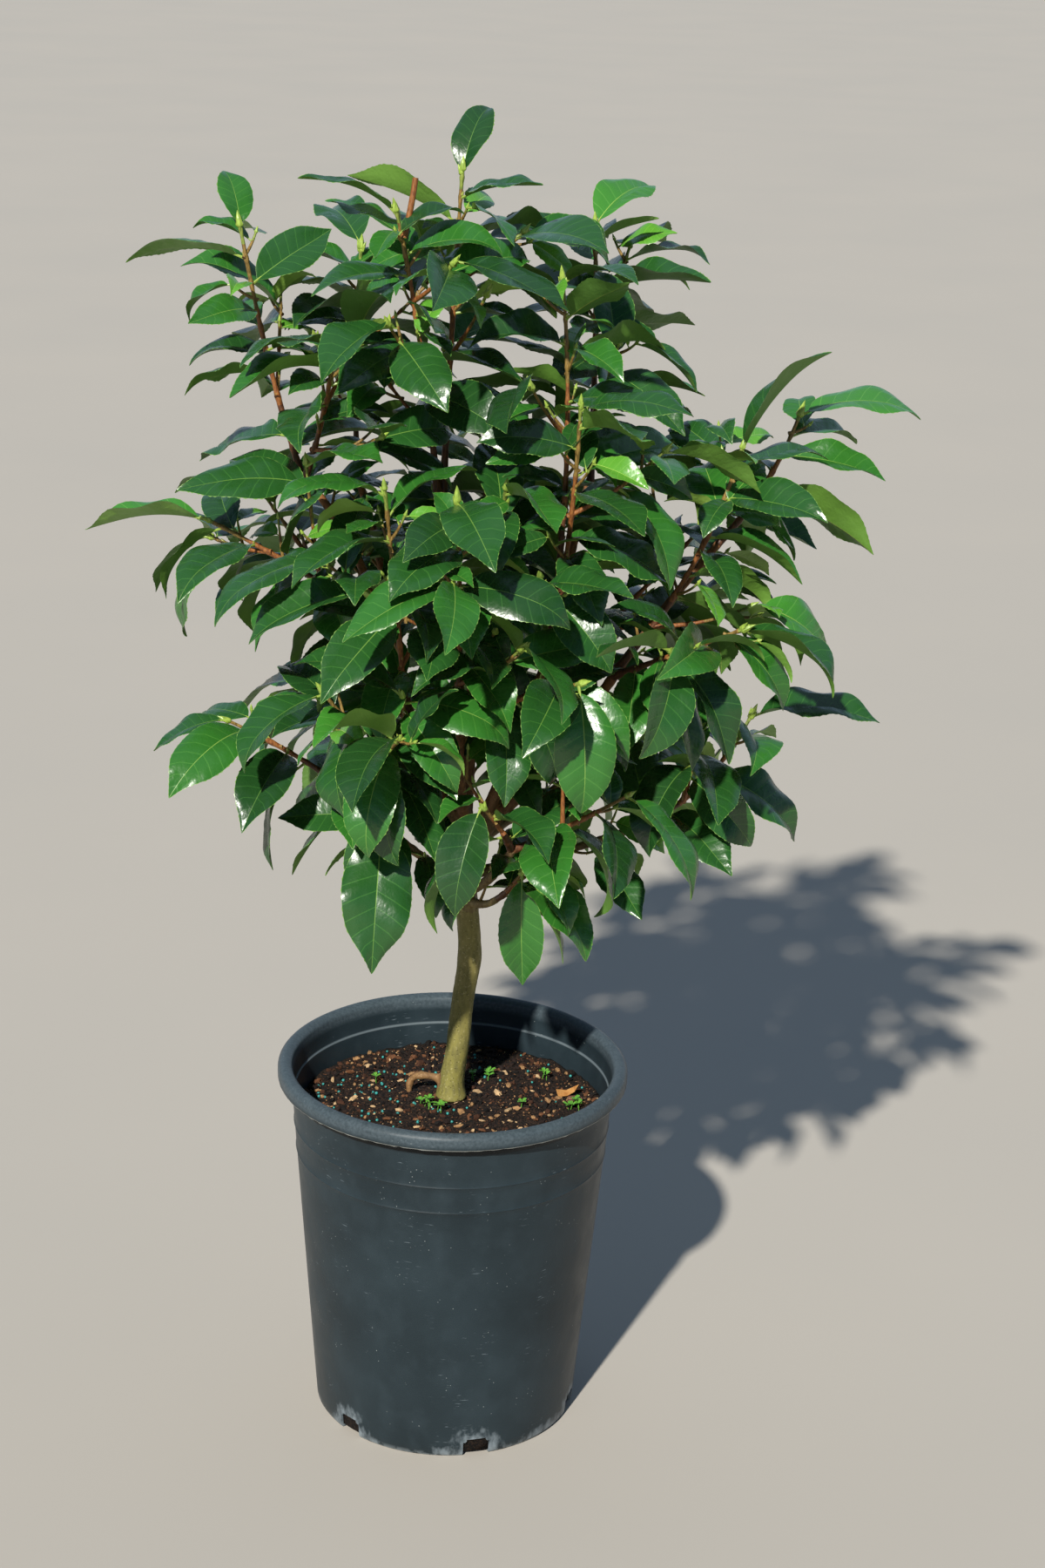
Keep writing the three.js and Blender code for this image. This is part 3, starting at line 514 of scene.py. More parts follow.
low_down = plastic.both(plastic.height(19, 0), patchy)
knocked = plastic.both(near_notch, low_down, "MAXIMUM")
scuffed = plastic.spread(plastic.both(knocked, ragged), 0.20, 0.46)
foot_edge = plastic.both(plastic.height(6, 1.5), plastic.spread(ragged, 0.44, 0.54))
# Just under the rolled rim the wall is darkened almost to black: painted shade, the shadow that the roll
# casts on the wall.
under_roll = plastic.both(plastic.height(297.0, 299.0), plastic.height(307.3, 306.8))
painted_roll_shadow = plastic.both(under_roll, plastic.reach(136.9, 137.4))
tone = plastic.blend(plastic.spread(cloud, 0.3, 0.7), shade("1d272c"), shade("28343a"))
tone = plastic.blend(plastic.spread(haze, 0.45, 0.75, 0.0, 0.3), tone, shade("36434a"))
tone = plastic.blend(plastic.both(painted_roll_shadow, 0.85), tone, shade("0a0d10"))
tone = plastic.blend(plastic.both(specks, rare), tone, shade("8d9494"))
tone = plastic.blend(plastic.both(hairlines, 0.5), tone, shade("78848c"))
tone = plastic.blend(plastic.both(rubbed_rim, 0.42), tone, shade("66737b"))
tone = plastic.blend(plastic.both(worn_edge, 0.8), tone, shade("a3a59f"))
tone = plastic.blend(plastic.both(ledge_line, 0.5), tone, shade("7a858b"))
tone = plastic.blend(plastic.both(scuffed, 0.8), tone, shade("8f9ba3"))
tone = plastic.blend(plastic.both(foot_edge, 0.7), tone, shade("7c858a"))
plastic.colour(tone).rough(haze, 0.36, 0.48)
plastic.bump(plastic.both(scratches, plastic.noise(160, 5), "ADD"), 0.16, 0.5)
print("pot plastic nodes:", len(plastic.tree.nodes))

# %% [markdown]
# The notches are cut last, with a Boolean modifier and six rounded cutters, because a cut
# keeps the swept wall true on both sides of it. The modifier is applied at once, so that the
# pot is a plain mesh again.

# %% Pot piece with its drain notches
NOTCH_WIDTH, NOTCH_HEIGHT, NOTCH_DEPTH, NOTCH_ROUNDING = 23.0, 17.0, 16.0, 3.0


def notch_cutter():
    shape = bmesh.new()
    for i in range(NOTCH_COUNT):
        turn = Matrix.Rotation(NOTCH_FIRST + i * math.tau / NOTCH_COUNT, 4, "Z")
        size = Matrix.Diagonal((NOTCH_DEPTH * MM, NOTCH_WIDTH * MM, NOTCH_HEIGHT * 2 * MM, 1.0))
        away = Matrix.Translation((FOOT_RADIUS * MM, 0, 0))
        bmesh.ops.create_cube(shape, size=1.0, matrix=turn @ away @ size)
    ends = [(edge, [corner.co.z for corner in edge.verts]) for edge in shape.edges]
    top_edges = [edge for edge, heights in ends if np.ptp(heights) < 1e-6 and heights[0] > 0]
    bmesh.ops.bevel(shape, geom=top_edges, offset=NOTCH_ROUNDING * MM, segments=3, affect="EDGES")
    mesh = bpy.data.meshes.new("notch_cutter")
    shape.to_mesh(mesh)
    shape.free()
    cutter = bpy.data.objects.new("notch_cutter", mesh)
    scene.collection.objects.link(cutter)
    return cutter


pot = make_piece("nursery_pot", pot_corners, pot_faces, [plastic], ["pot"], crease=38.0)
cutter = notch_cutter()
pot.data = applied(pot, ("BOOLEAN", {"object": cutter, "operation": "DIFFERENCE", "solver": "EXACT"}))
bpy.data.objects.remove(cutter)
print("pot faces after the cuts:", len(pot.data.polygons))

# %% [markdown]
# ## The potting mix
# The pot is filled to a few centimetres under its rim with composted bark: dark, crumbly, a
# little lower at the wall. Its surface is a round grid lifted by noise, from wide lumps to
# fine ones, and the bed goes down to the pot's floor, so that the drain notches show it.

# %% Mix surface
SOIL_TOP, SOIL_EDGE, LEVEL_RADIUS = 286.0, 277.0, 48.0
SOIL_REACH = inside_radius(SOIL_EDGE) - 0.9
SOIL_RINGS, SOIL_SIDES = 62, 200


def soil_height(x, y):
    reach = math.hypot(x, y)
    fall = max(0.0, (reach - LEVEL_RADIUS) / (SOIL_REACH - LEVEL_RADIUS))
    lumps = noise.noise(Vector((x, y, 5.0)) * 0.05) * 2.2
    lumps += noise.noise(Vector((x, y, 9.0)) * 0.16) * 1.5 + noise.noise(Vector((x, y, 2.0)) * 0.42) * 0.9
    return SOIL_TOP + (SOIL_EDGE - SOIL_TOP) * min(fall, 1.0) + lumps - 0.8


def soil_body():
    rims = [(SOIL_REACH * (i / SOIL_RINGS) ** 0.9) for i in range(1, SOIL_RINGS + 1)]
    turn = np.arange(SOIL_SIDES) * math.tau / SOIL_SIDES
    corners = [(r * math.cos(t), r * math.sin(t)) for r in rims for t in turn]
    top = [(x, y, soil_height(x, y)) for x, y in corners]
    side = [(inside_radius(z) - 0.9, z) for z in (262.0, 180.0, 90.0, 3.2)]
    wall = [(r * math.cos(t), r * math.sin(t), z) for r, z in side for t in turn]
    ends = [(0.0, 0.0, soil_height(0.0, 0.0)), (0.0, 0.0, side[-1][1])]
    faces = [face[::-1] for face in ring_faces(SOIL_RINGS + len(side), SOIL_SIDES)]
    middle, under = len(top) + len(wall), len(top) + len(wall) + 1
    last = middle - SOIL_SIDES
    faces += [[middle, i, (i + 1) % SOIL_SIDES] for i in range(SOIL_SIDES)]
    faces += [[under, last + (i + 1) % SOIL_SIDES, last + i] for i in range(SOIL_SIDES)]
    return np.array(top + wall + ends), faces


mix = Finish("potting_mix_finish", shade("1d1612"), 0.92, Specular_IOR_Level=0.25)
crumbs = mix.noise(520, 8)
patches = mix.noise(60, 4)
mix_tone = mix.blend(mix.spread(crumbs, 0.42, 0.66), shade("0e0a08"), shade("3d2d23"))
mix_tone = mix.blend(mix.spread(patches, 0.5, 0.75, 0.0, 0.6), mix_tone, shade("191210"))
mix.colour(mix_tone).rough(crumbs, 0.8, 1.0).bump(crumbs, 2.2, 1.0)
soil_corners, soil_faces = soil_body()
make_piece("potting_mix_bed", soil_corners, soil_faces, [mix], ["soil"], crease=180.0)

# %% [markdown]
# Noise alone looks like clay, so thousands of loose bark chips lie on the bed, from black to
# tan. A particle system could scatter them, but particles are lost in an export. Each chip is
# a ball of twenty faces, squeezed, knocked out of shape and turned. Their places follow a
# spiral with the golden turn, which covers a disc evenly without rows.


# %% Loose bits
def pebble(subdivisions):
    """A ball of triangles: twenty of them for a chip, eighty for a round grain."""
    shape = bmesh.new()
    bmesh.ops.create_icosphere(shape, subdivisions=subdivisions, radius=1.0)
    corners = np.array([v.co[:] for v in shape.verts])
    faces = [[v.index for v in face.verts] for face in shape.faces]
    shape.free()
    return corners, faces


def spun(corners, turn, tilt, roll):
    """The corners turned as a loose bit lies: rolled, tilted, then turned round."""
    spin = Matrix.Rotation(turn, 3, "Z") @ Matrix.Rotation(tilt, 3, "X") @ Matrix.Rotation(roll, 3, "Y")
    return corners @ np.array(spin).T


print("faces of a chip:", len(pebble(1)[1]))

# %% Bark chips
CHIP_COUNT = 5600
SMALLEST_CHIP, CHIP_SPAN, CHIP_RARITY = 0.62, 2.9, 7
CHIP_TONES = ["120d0b", "261914", "44291a", "70492f", "a37d55", "cbaa80"]
CHIP_SHARES = [0.28, 0.54, 0.72, 0.86, 0.955, 1.0]
GOLDEN_ANGLE = 137.5


def chip_finish(name, code):
    chip = Finish(name, shade(code), 0.85, Specular_IOR_Level=0.3)
    grain = chip.noise(700, 4, (1.0, 0.25, 1.0))
    tone = tuple(c * 0.55 for c in shade(code))
    chip.colour(chip.blend(chip.spread(grain, 0.35, 0.65), tone, shade(code)))
    return chip.bump(grain, 0.4, 0.7)


rough_corners, rough_faces = pebble(1)
chips = Heap()
for i in range(CHIP_COUNT):
    reach = (SOIL_REACH - 3.0) * math.sqrt((i + 0.5) / CHIP_COUNT)
    around = i * math.radians(GOLDEN_ANGLE) + 0.5 * chance(i, 0, 40)
    x, y = reach * math.cos(around), reach * math.sin(around)
    size = SMALLEST_CHIP + CHIP_SPAN * chance(i, 1, 40) ** CHIP_RARITY
    stretch = size * np.array([1.0 + 0.8 * chance(i, 2, 40), 0.85, 0.45 + 0.4 * chance(i, 3, 40)])
    jitter = np.array([[chance(i, 10 + k, c) for c in range(3)] for k in range(len(rough_corners))])
    bit = rough_corners * (0.72 + 0.5 * jitter) * stretch
    tilt, roll = 1.5 * (chance(i, 5, 40) - 0.5), 1.2 * (chance(i, 6, 40) - 0.5)
    bit = spun(bit, math.tau * chance(i, 4, 40), tilt, roll)
    tone = next(k for k, share in enumerate(CHIP_SHARES) if chance(i, 7, 40) <= share)
    chips.put(bit + (x, y, soil_height(x, y) + 0.25 * size), rough_faces, tone)
chip_finishes = [chip_finish(f"bark_chip_finish_{k}", code) for k, code in enumerate(CHIP_TONES)]
chips.piece("bark_chips", chip_finishes, "potting_mix", crease=25.0)

# %% [markdown]
# Growers sprinkle teal grains of slow feed on the mix. They roll together, so three in five
# lie in one patch on the left and the others anywhere. Each one is a small smooth ball.

# %% Feed grains
GRAIN_COUNT = 130
GRAIN_HEART, GRAIN_PATCH = (-52.0, -14.0), 72.0

feed = Finish("feed_grain_finish", shade("238a86"), 0.4)
feed_spots = feed.noise(900, 3)
feed_tone = feed.blend(feed.spread(feed_spots, 0.35, 0.65), shade("14625f"), shade("3fa5a0"))
feed.colour(feed_tone).bump(feed_spots, 0.15, 0.5)
ball_corners, ball_faces = pebble(2)
grains = Heap()
for i in range(GRAIN_COUNT):
    around = math.tau * chance(i, 0, 50)
    near = i % 5 < 3
    spread = (GRAIN_PATCH if near else SOIL_REACH - 6.0) * math.sqrt(chance(i, 1, 50))
    heart = GRAIN_HEART if near else (0.0, 0.0)
    x, y = heart[0] + spread * math.cos(around), heart[1] + spread * math.sin(around)
    if math.hypot(x, y) > SOIL_REACH - 4.0:
        continue
    radius = 0.9 + 0.6 * chance(i, 2, 50)
    grains.put(ball_corners * radius + (x, y, soil_height(x, y) + 0.8 * radius), ball_faces)
grains.piece("feed_grains", [feed], "potting_mix")

# %% [markdown]
# Weeds come up in every pot. A seedling is a stalk with two or four oval leaves. They could be
# flat sheets, but a sheet can look wrong from its back once exported, so they are closed.


# %% Leaf and stalk of a seedling
def small_leaf(root, out, length, width, lift):
    """A thin oval leaf of a seedling, closed above and below."""
    side = unit(np.cross(out, (0.0, 0.0, 1.0)))
    up = np.array([0.0, 0.0, 1.0])
    middle = [root + out * length * s + up * lift * s * (2 - s) for s in (0.0, 0.5, 1.0)]
    edges = []
    for hand in (1, -1):
        shares = [(0.25, 0.55 * hand), (0.5, hand), (0.78, 0.8 * hand)]
        along = [root + out * length * s + side * width * w for s, w in shares]
        edges.append([place + up * (lift * s * 2 + 0.3) for place, (s, _) in zip(along, shares)])
    rim = [middle[0], *edges[0], middle[2], *edges[1][::-1]]
    under = middle[1] - np.array([0.0, 0.0, 0.35])
    corners = np.array([*rim, middle[1], under])
    count = len(rim)
    faces = [[i, (i + 1) % count, count] for i in range(count)]
    faces += [[i, count + 1, (i + 1) % count] for i in range(count)]
    return corners, faces


def stalk(foot, head, radius, sides=5):
    """A straight stalk between two places."""
    along = unit(head - foot)
    side = unit(np.cross(along, (0.3, 0.9, 0.1)))
    other = np.cross(along, side)
    turn = np.arange(sides) * math.tau / sides
    loop = np.cos(turn)[:, None] * side + np.sin(turn)[:, None] * other
    corners = np.concatenate([foot + loop * radius, head + loop * radius * 0.7])
    faces = ring_faces(2, sides) + [list(range(sides))[::-1], list(range(sides, 2 * sides))]
    return corners, faces


print("faces of a stalk:", len(stalk(np.zeros(3), np.ones(3), 1.0)[1]))

# %% [markdown]
# The seedlings stand in small tufts where seeds fell. Chance could place them, but the tufts
# can be seen in the photo, so their places are written down, and chance moves the rest.

# %% Seedlings
# Each tuft: its place on the mix and how many seedlings it has.
SEEDLING_TUFTS = [(-21, -22, 5), (-14, -30, 3), (31, 42, 5), (22, 33, 2)]
SEEDLING_TUFTS += [(80, 54, 3), (104, -4, 6), (-62, 30, 1), (62, -18, 1)]

sprout = Finish("seedling_finish", shade("5d9a35"), 0.5)
sprout_tone = sprout.noise(300, 3)
sprout.colour(sprout.blend(sprout_tone, shade("6fae3c"), shade("417a2a"))).bump(sprout_tone, 0.2, 0.4)
seedlings = Heap()
for tuft, (x0, y0, count) in enumerate(SEEDLING_TUFTS):
    for k in range(count):
        x = x0 + 13.0 * (chance(tuft, k, 60) - 0.5)
        y = y0 + 13.0 * (chance(tuft, k, 61) - 0.5)
        foot = np.array([x, y, soil_height(x, y) - 0.5])
        lean = [2.0 * chance(tuft, k, 62) - 1.0, 2.0 * chance(tuft, k, 63) - 1.0]
        head = foot + np.array([*lean, 4.0 + 4.0 * chance(tuft, k, 64)])
        seedlings.put(*stalk(foot, head, 0.45))
        first = math.tau * chance(tuft, k, 65)
        leaves = 2 + 2 * (chance(tuft, k, 66) > 0.5)
        for n in range(leaves):
            turn = first + n * math.tau / leaves
            out = np.array([math.cos(turn), math.sin(turn), 0.12])
            seedlings.put(*small_leaf(head, out, 3.6 + 2.6 * chance(tuft, k, 67 + n), 1.7, 0.8))
seedlings.piece("seedlings", [sprout], "foliage", crease=70.0)

# %% [markdown]
# ## Centre lines
# A trunk, a bough and a twig are all a centre line with a radius along it. Blender's curve
# objects can draw them, but the growth further down has to ask for thousands of places on
# them, so they are written out here. A bough's line sets out from its start towards a bend
# and ends at its tip; the trunk's passes smoothly through eight places.


# %% A line with one bend
class BendingLine:
    """From start towards bend and on to tip, for shares from 0 to 1 of its length."""

    def __init__(self, start, bend, tip, radius_at):
        self.start, self.bend, self.tip = (np.array(p, float) for p in (start, bend, tip))
        self.radius_at = radius_at
        run = unit(self.tip - self.start)
        self.reference = np.array([0.0, 1.0, 0.0] if abs(run[1]) < 0.8 else [1.0, 0.0, 0.0])
        sides = [self.tip - self.start, self.bend - self.start, self.tip - self.bend]
        self.length = sum(np.linalg.norm(side) for side in sides) / 2

    def at(self, share):
        s = np.asarray(share, float)[..., None]
        return (1 - s) ** 2 * self.start + 2 * (1 - s) * s * self.bend + s**2 * self.tip

    def heading(self, share):
        s = np.asarray(share, float)[..., None]
        way = (1 - s) * (self.bend - self.start) + s * (self.tip - self.bend)
        return way / np.linalg.norm(way, axis=-1, keepdims=True)


print("half way along a bend:", BendingLine((0, 0, 0), (0, 0, 1), (1, 0, 1), None).at(0.5))


# %% A line through many places
class SmoothLine:
    """A line that passes smoothly through all of its places."""

    def __init__(self, places, radius_at):
        p = np.array(places, float)
        self.places = np.concatenate([[2 * p[0] - p[1]], p, [2 * p[-1] - p[-2]]])
        self.spans = len(p) - 1
        self.radius_at = radius_at
        self.reference = np.array([0.0, 1.0, 0.0])

    def at(self, share):
        t = np.clip(np.asarray(share, float), 0, 1) * self.spans
        i = np.minimum(t.astype(int), self.spans - 1)
        w = (t - i)[..., None]
        a, b, c, d = (self.places[i + k] for k in range(4))
        rise, fall = 0.5 * (c - a), 0.5 * (d - b)
        return b + rise * w + (3 * (c - b) - 2 * rise - fall) * w**2 + (2 * (b - c) + rise + fall) * w**3

    def heading(self, share):
        s = np.asarray(share, float)
        way = self.at(np.minimum(1, s + 1e-3)) - self.at(np.maximum(0, s - 1e-3))
        return way / np.linalg.norm(way, axis=-1, keepdims=True)


def frame_at(line, share):
    """The heading of a line and two directions across it."""
    heading = line.heading(share)
    side = np.cross(heading, line.reference)
    side = side / np.linalg.norm(side, axis=-1, keepdims=True)
    return heading, side, np.cross(heading, side)


print("half way along a zigzag:", SmoothLine([(0, 0, 0), (1, 0, 1), (0, 0, 2)], None).at(0.5))

# %% [markdown]
# The trunk leaves the mix with a flare, leans to the right and back again, has a slight knot
# a little over half way up, and swells where it forks.

# %% The trunk's line
GAP = 0.35
TRUNK_FOOT = SOIL_TOP + GAP
TRUNK_LINE = [
    (-1, 0, TRUNK_FOOT), (-1, 0, 300), (3.5, 0.5, 334), (7, 2, 375),
    (11.5, 3, 415), (9.5, 3, 450), (6, 1, 484), (4, 0, 512),
]
TRUNK_RADIUS = 9.6


def trunk_radius(share):
    """The trunk's taper: root flare at the soil, a slight knot, and swelling into the fork."""
    z = trunk_line.at(share)[..., 2]
    flare = 4.4 * np.exp(-(z - TRUNK_FOOT) / 13)
    knot = 0.9 * np.exp(-(((z - 415) / 12) ** 2))
    return TRUNK_RADIUS + flare + knot + 1.6 * np.maximum(0, np.asarray(share) * 4 - 3)


trunk_line = SmoothLine(TRUNK_LINE, trunk_radius)
print("trunk from", trunk_line.at(0.0).round(1), "to its fork at", trunk_line.at(1.0).round(1))

# %% [markdown]
# ## Trunk and boughs
# The trunk forks low, and twenty boughs rise and spread from the fork. Each row names a
# bough, what it grows from and at which share, its bend, its tip and its radius at both ends.
# A rule could spread them, but they carry the crown's outline, so they are set one by one.

# %% Bough table
BOUGHS = [
    ("front_left", "trunk", 0.955, (-22, -18, 540), (-42, -50, 592), 6.2, 4.2),
    ("left_low", "trunk", 0.86, (-42, -36, 520), (-92, -56, 584), 4.6, 3.2),
    ("left", "trunk", 0.985, (-32, 10, 600), (-86, -6, 722), 6.8, 4.2),
    ("left_upper", "left", 0.68, (-74, 26, 756), (-130, 12, 822), 4.6, 3.4),
    ("centre", "trunk", 0.985, (4, 16, 590), (10, 4, 664), 7.6, 5.0),
    ("centre_upper", "centre", 0.6, (-22, 24, 720), (-22, 6, 818), 5.4, 3.8),
    ("centre_front", "centre", 0.2, (-4, -40, 590), (0, -66, 650), 5.0, 3.8),
    ("right_centre", "trunk", 0.94, (44, -12, 600), (68, -38, 694), 6.4, 4.2),
    ("right", "right_centre", 0.12, (80, -16, 600), (122, -36, 680), 5.8, 4.2),
    ("right_outer", "right", 0.74, (150, -8, 716), (204, -4, 784), 4.2, 3.2),
    ("right_low", "trunk", 0.89, (80, 6, 506), (140, 4, 532), 4.6, 3.2),
    ("front_low", "trunk", 0.83, (24, -50, 496), (44, -80, 544), 4.8, 3.6),
    ("foot", "trunk", 0.79, (22, -22, 468), (34, -40, 486), 3.4, 2.9),
    ("back_left", "trunk", 0.93, (-30, 48, 572), (-64, 72, 650), 6.2, 4.4),
    ("back_left_upper", "back_left", 0.74, (-66, 92, 730), (-92, 98, 806), 4.4, 3.4),
    ("back_right", "trunk", 0.92, (46, 46, 572), (88, 76, 650), 6.2, 4.4),
    ("back_right_upper", "back_right", 0.74, (82, 92, 730), (102, 98, 810), 4.4, 3.4),
    ("back", "trunk", 0.9, (6, 70, 552), (12, 104, 630), 5.8, 4.2),
    ("back_low_left", "back_left", 0.16, (-44, 62, 536), (-70, 88, 560), 4.0, 3.2),
    ("back_low_right", "back_right", 0.14, (66, 62, 534), (100, 90, 554), 4.0, 3.2),
]
boughs = {}
for name, parent, share, bend, tip, foot, end in BOUGHS:
    start = (trunk_line if parent == "trunk" else boughs[parent]).at(share)
    taper = lambda s, foot=foot, end=end: foot + (end - foot) * np.asarray(s, float) ** 0.8
    boughs[name] = BendingLine(start, bend, tip, taper)
print("boughs:", len(boughs), "with", round(sum(b.length for b in boughs.values())), "mm of wood")

# %% [markdown]
# Every limb starts as a tube of rings across its line. A bough is thicker at its collar, where
# it leaves its parent, and swells a little at each old bud scar.

# %% Tubes for the limbs
LIMB_SIDES = 18
# The surface root leaves the trunk's foot, arches over the mix and dives back into it.
ROOT_LINE = [(-4, 1, 299), (-19, 4, 303), (-32, 8, 300.5), (-37, 10, 293), (-37, 10, TRUNK_FOOT - 4)]


def tube(line, shares, radii, sides):
    """A closed tube along a line."""
    heading, side, other = frame_at(line, shares)
    turn = np.arange(sides) * math.tau / sides
    loop = np.cos(turn)[None, :, None] * side[:, None] + np.sin(turn)[None, :, None] * other[:, None]
    corners = line.at(shares)[:, None] + loop * np.asarray(radii)[:, None, None]
    faces = ring_faces(len(shares), sides)
    last = (len(shares) - 1) * sides
    faces += [list(range(sides))[::-1], list(range(last, last + sides))]
    return corners.reshape(-1, 3), faces


def bough_radii(line, shares):
    """Taper, a collar where the bough leaves its parent, and a slight swelling at each bud scar."""
    run = shares * line.length
    collar = 2.4 * np.exp(-np.maximum(run - 6.0, 0) / 9.0)
    scars = 0.35 * np.maximum(0, np.cos(run / 23.0 * math.tau)) ** 6
    return line.radius_at(shares) + collar + scars


limbs = Heap()
trunk_shares = np.linspace(0, 1, 90)
limbs.put(*tube(trunk_line, trunk_shares, trunk_radius(trunk_shares), 40))
for line in boughs.values():
    shares = np.linspace(0, 1, max(12, int(line.length / 4)))
    limbs.put(*tube(line, shares, bough_radii(line, shares), LIMB_SIDES))
root_line = SmoothLine(ROOT_LINE, None)
root_shares = np.linspace(0, 1, 30)
root_radii = 3.2 + 0.5 * np.sin(root_shares * 19) + 1.2 * (1 - root_shares) ** 4
limbs.put(*tube(root_line, root_shares, root_radii, LIMB_SIDES))
print("limb tubes:", limbs.count, "corners")

# %% [markdown]
# A camellia's trunk is olive-grey and its boughs are brown. One finish could turn from one to
# the other with height, but a bough that hangs low would then be olive.
# Four finishes of one pattern are made, for trunk, fork, boughs and root.


# %% Bark finishes
def bark_finish(name, low, high, mid, scar, from_z, to_z):
    """Bark that changes from one tone to another with height, with paler flecks and dark pits."""
    bark = Finish(name, shade(mid), 0.62, Specular_IOR_Level=0.35)
    grain = bark.noise(260, 6, (1.0, 1.0, 0.3))
    fleck = bark.spread(bark.noise(520, 3), 0.60, 0.70)
    pit = bark.spread(bark.cells(330), 0.10, 0.22, 1.0, 0.0)
    unevenly = bark.spread(bark.noise(30, 3), 0.3, 0.7, -0.25, 0.25)
    climb = bark.both(bark.height(from_z, to_z), unevenly, "ADD")
    tone = bark.blend(bark.spread(climb, 0.0, 1.0), shade(low), shade(high))
    tone = bark.blend(bark.spread(grain, 0.40, 0.68), tone, shade(mid))
    tone = bark.blend(bark.both(fleck, 0.55), tone, shade(scar))
    tone = bark.blend(bark.both(pit, 0.5), tone, shade("2c2114"))
    return bark.colour(tone).rough(grain, 0.5, 0.78).bump(bark.both(grain, pit, "SUBTRACT"), 0.35, 0.7)


trunk_bark = bark_finish("trunk_bark_finish", "857f42", "847848", "6d683a", "b8ae80", 290, 500)
fork_bark = bark_finish("fork_bark_finish", "7a6c43", "77573a", "5c4a30", "ab9468", 480, 580)
bough_bark = bark_finish("bough_bark_finish", "6a5136", "9c673d", "57402b", "b08a60", 500, 700)
root_bark = bark_finish("root_bark_finish", "94704a", "8a6a44", "6f5234", "bb9a70", 286, 305)
barks = [trunk_bark, bough_bark, root_bark, fork_bark]
print("bark finishes:", [bark.material.name for bark in barks])

# %% [markdown]
# The bark has to run on from the trunk into each bough without a seam. Tubes that only pass
# through each other show a hard line where they meet. A Remesh modifier in voxel mode wraps
# all of them in one skin, and a Smooth modifier rounds the forks.

# %% Bark skin
VOXEL_MM = 1.3
SMOOTHING_ROUNDS = 4

rough_mesh = bpy.data.meshes.new("limb_tubes")
rough_mesh.from_pydata((np.concatenate(limbs.corners) * MM).tolist(), [], limbs.faces)
rough_limbs = bpy.data.objects.new("limb_tubes", rough_mesh)
scene.collection.objects.link(rough_limbs)
skin = applied(
    rough_limbs,
    ("REMESH", {"mode": "VOXEL", "voxel_size": VOXEL_MM * MM, "use_smooth_shade": True}),
    ("SMOOTH", {"factor": 0.5, "iterations": SMOOTHING_ROUNDS}),
)
bpy.data.objects.remove(rough_limbs)
print("bark skin:", len(skin.polygons), "faces")

# %% [markdown]
# A bump in the finish changes the shading but leaves the outline smooth. So every corner is
# pushed in or out by noise, which gives the ripples, grain and pits of the bark as true relief.
# Each face then takes the finish of the limb whose line is nearest.

# %% Bark relief
TRUNK_BARK, BOUGH_BARK, ROOT_BARK, FORK_BARK = range(4)
FORK_BARK_FROM, FORK_BARK_TOP = 0.86, 548.0


def limb_samples():
    """Places along the trunk, the root and the boughs, and which of the four barks each has."""
    up_trunk, along_root = np.linspace(0, 1, 120), np.linspace(0.22, 1, 30)
    up_bough = np.linspace(0.12, 1, 24)
    places = [trunk_line.at(up_trunk), root_line.at(along_root)]
    kinds = [np.where(up_trunk < FORK_BARK_FROM, TRUNK_BARK, FORK_BARK)]
    kinds.append(np.full(len(along_root), ROOT_BARK))
    for line in boughs.values():
        places.append(line.at(up_bough))
        kinds.append(np.where(places[-1][:, 2] < FORK_BARK_TOP, FORK_BARK, BOUGH_BARK))
    return np.concatenate(places), np.concatenate(kinds)


def nearest_kind(points):
    places, kinds = limb_samples()
    found = np.zeros(len(points), int)
    for i in range(0, len(points), 4000):
        gaps = ((points[i : i + 4000, None] - places[None]) ** 2).sum(-1)
        found[i : i + 4000] = kinds[gaps.argmin(1)]
    return found


count = len(skin.vertices)
skin_places, skin_normals = np.empty(count * 3), np.empty(count * 3)
skin.vertices.foreach_get("co", skin_places)
skin.vertices.foreach_get("normal", skin_normals)
skin_places, skin_normals = skin_places.reshape(-1, 3) / MM, skin_normals.reshape(-1, 3)
relief = np.zeros(count)
for i, (x, y, z) in enumerate(skin_places):
    ripple = noise.noise(Vector((x * 0.10, y * 0.10, z * 0.035)))
    grain = noise.noise(Vector((x * 0.42, y * 0.42, z * 0.16)))
    pit = max(0.0, noise.noise(Vector((x * 0.5, y * 0.5, z * 0.62 + 40.0))) - 0.32)
    relief[i] = 0.55 * ripple + 0.24 * grain - 1.1 * pit
skin_places += skin_normals * relief[:, None]
skin_faces = [list(p.vertices) for p in skin.polygons]
middles = skin_places[np.array([face[:3] for face in skin_faces])].mean(1)
skin_kinds = nearest_kind(middles)
limb_nodes = ["trunk", "surface_root"] + [f"bough_{name}" for name in boughs]
make_piece("bark_skin", skin_places, skin_faces, barks, limb_nodes, skin_kinds, 180.0)

# %% [markdown]
# ## How the foliage grows
# Each bough ends in one or two masses of foliage. A mass is a stem that passes under its bend
# and ends at its tip, a few side twigs that spread from it and turn up to the light, and
# leaves in a spiral round all of them. The rows give what differs from mass to mass: the
# bough, the stem's bend and tip, how many leaves and twigs, the turn of the first leaf, and
# the aim of the topmost leaf, because those leaves draw the outline of the crown.

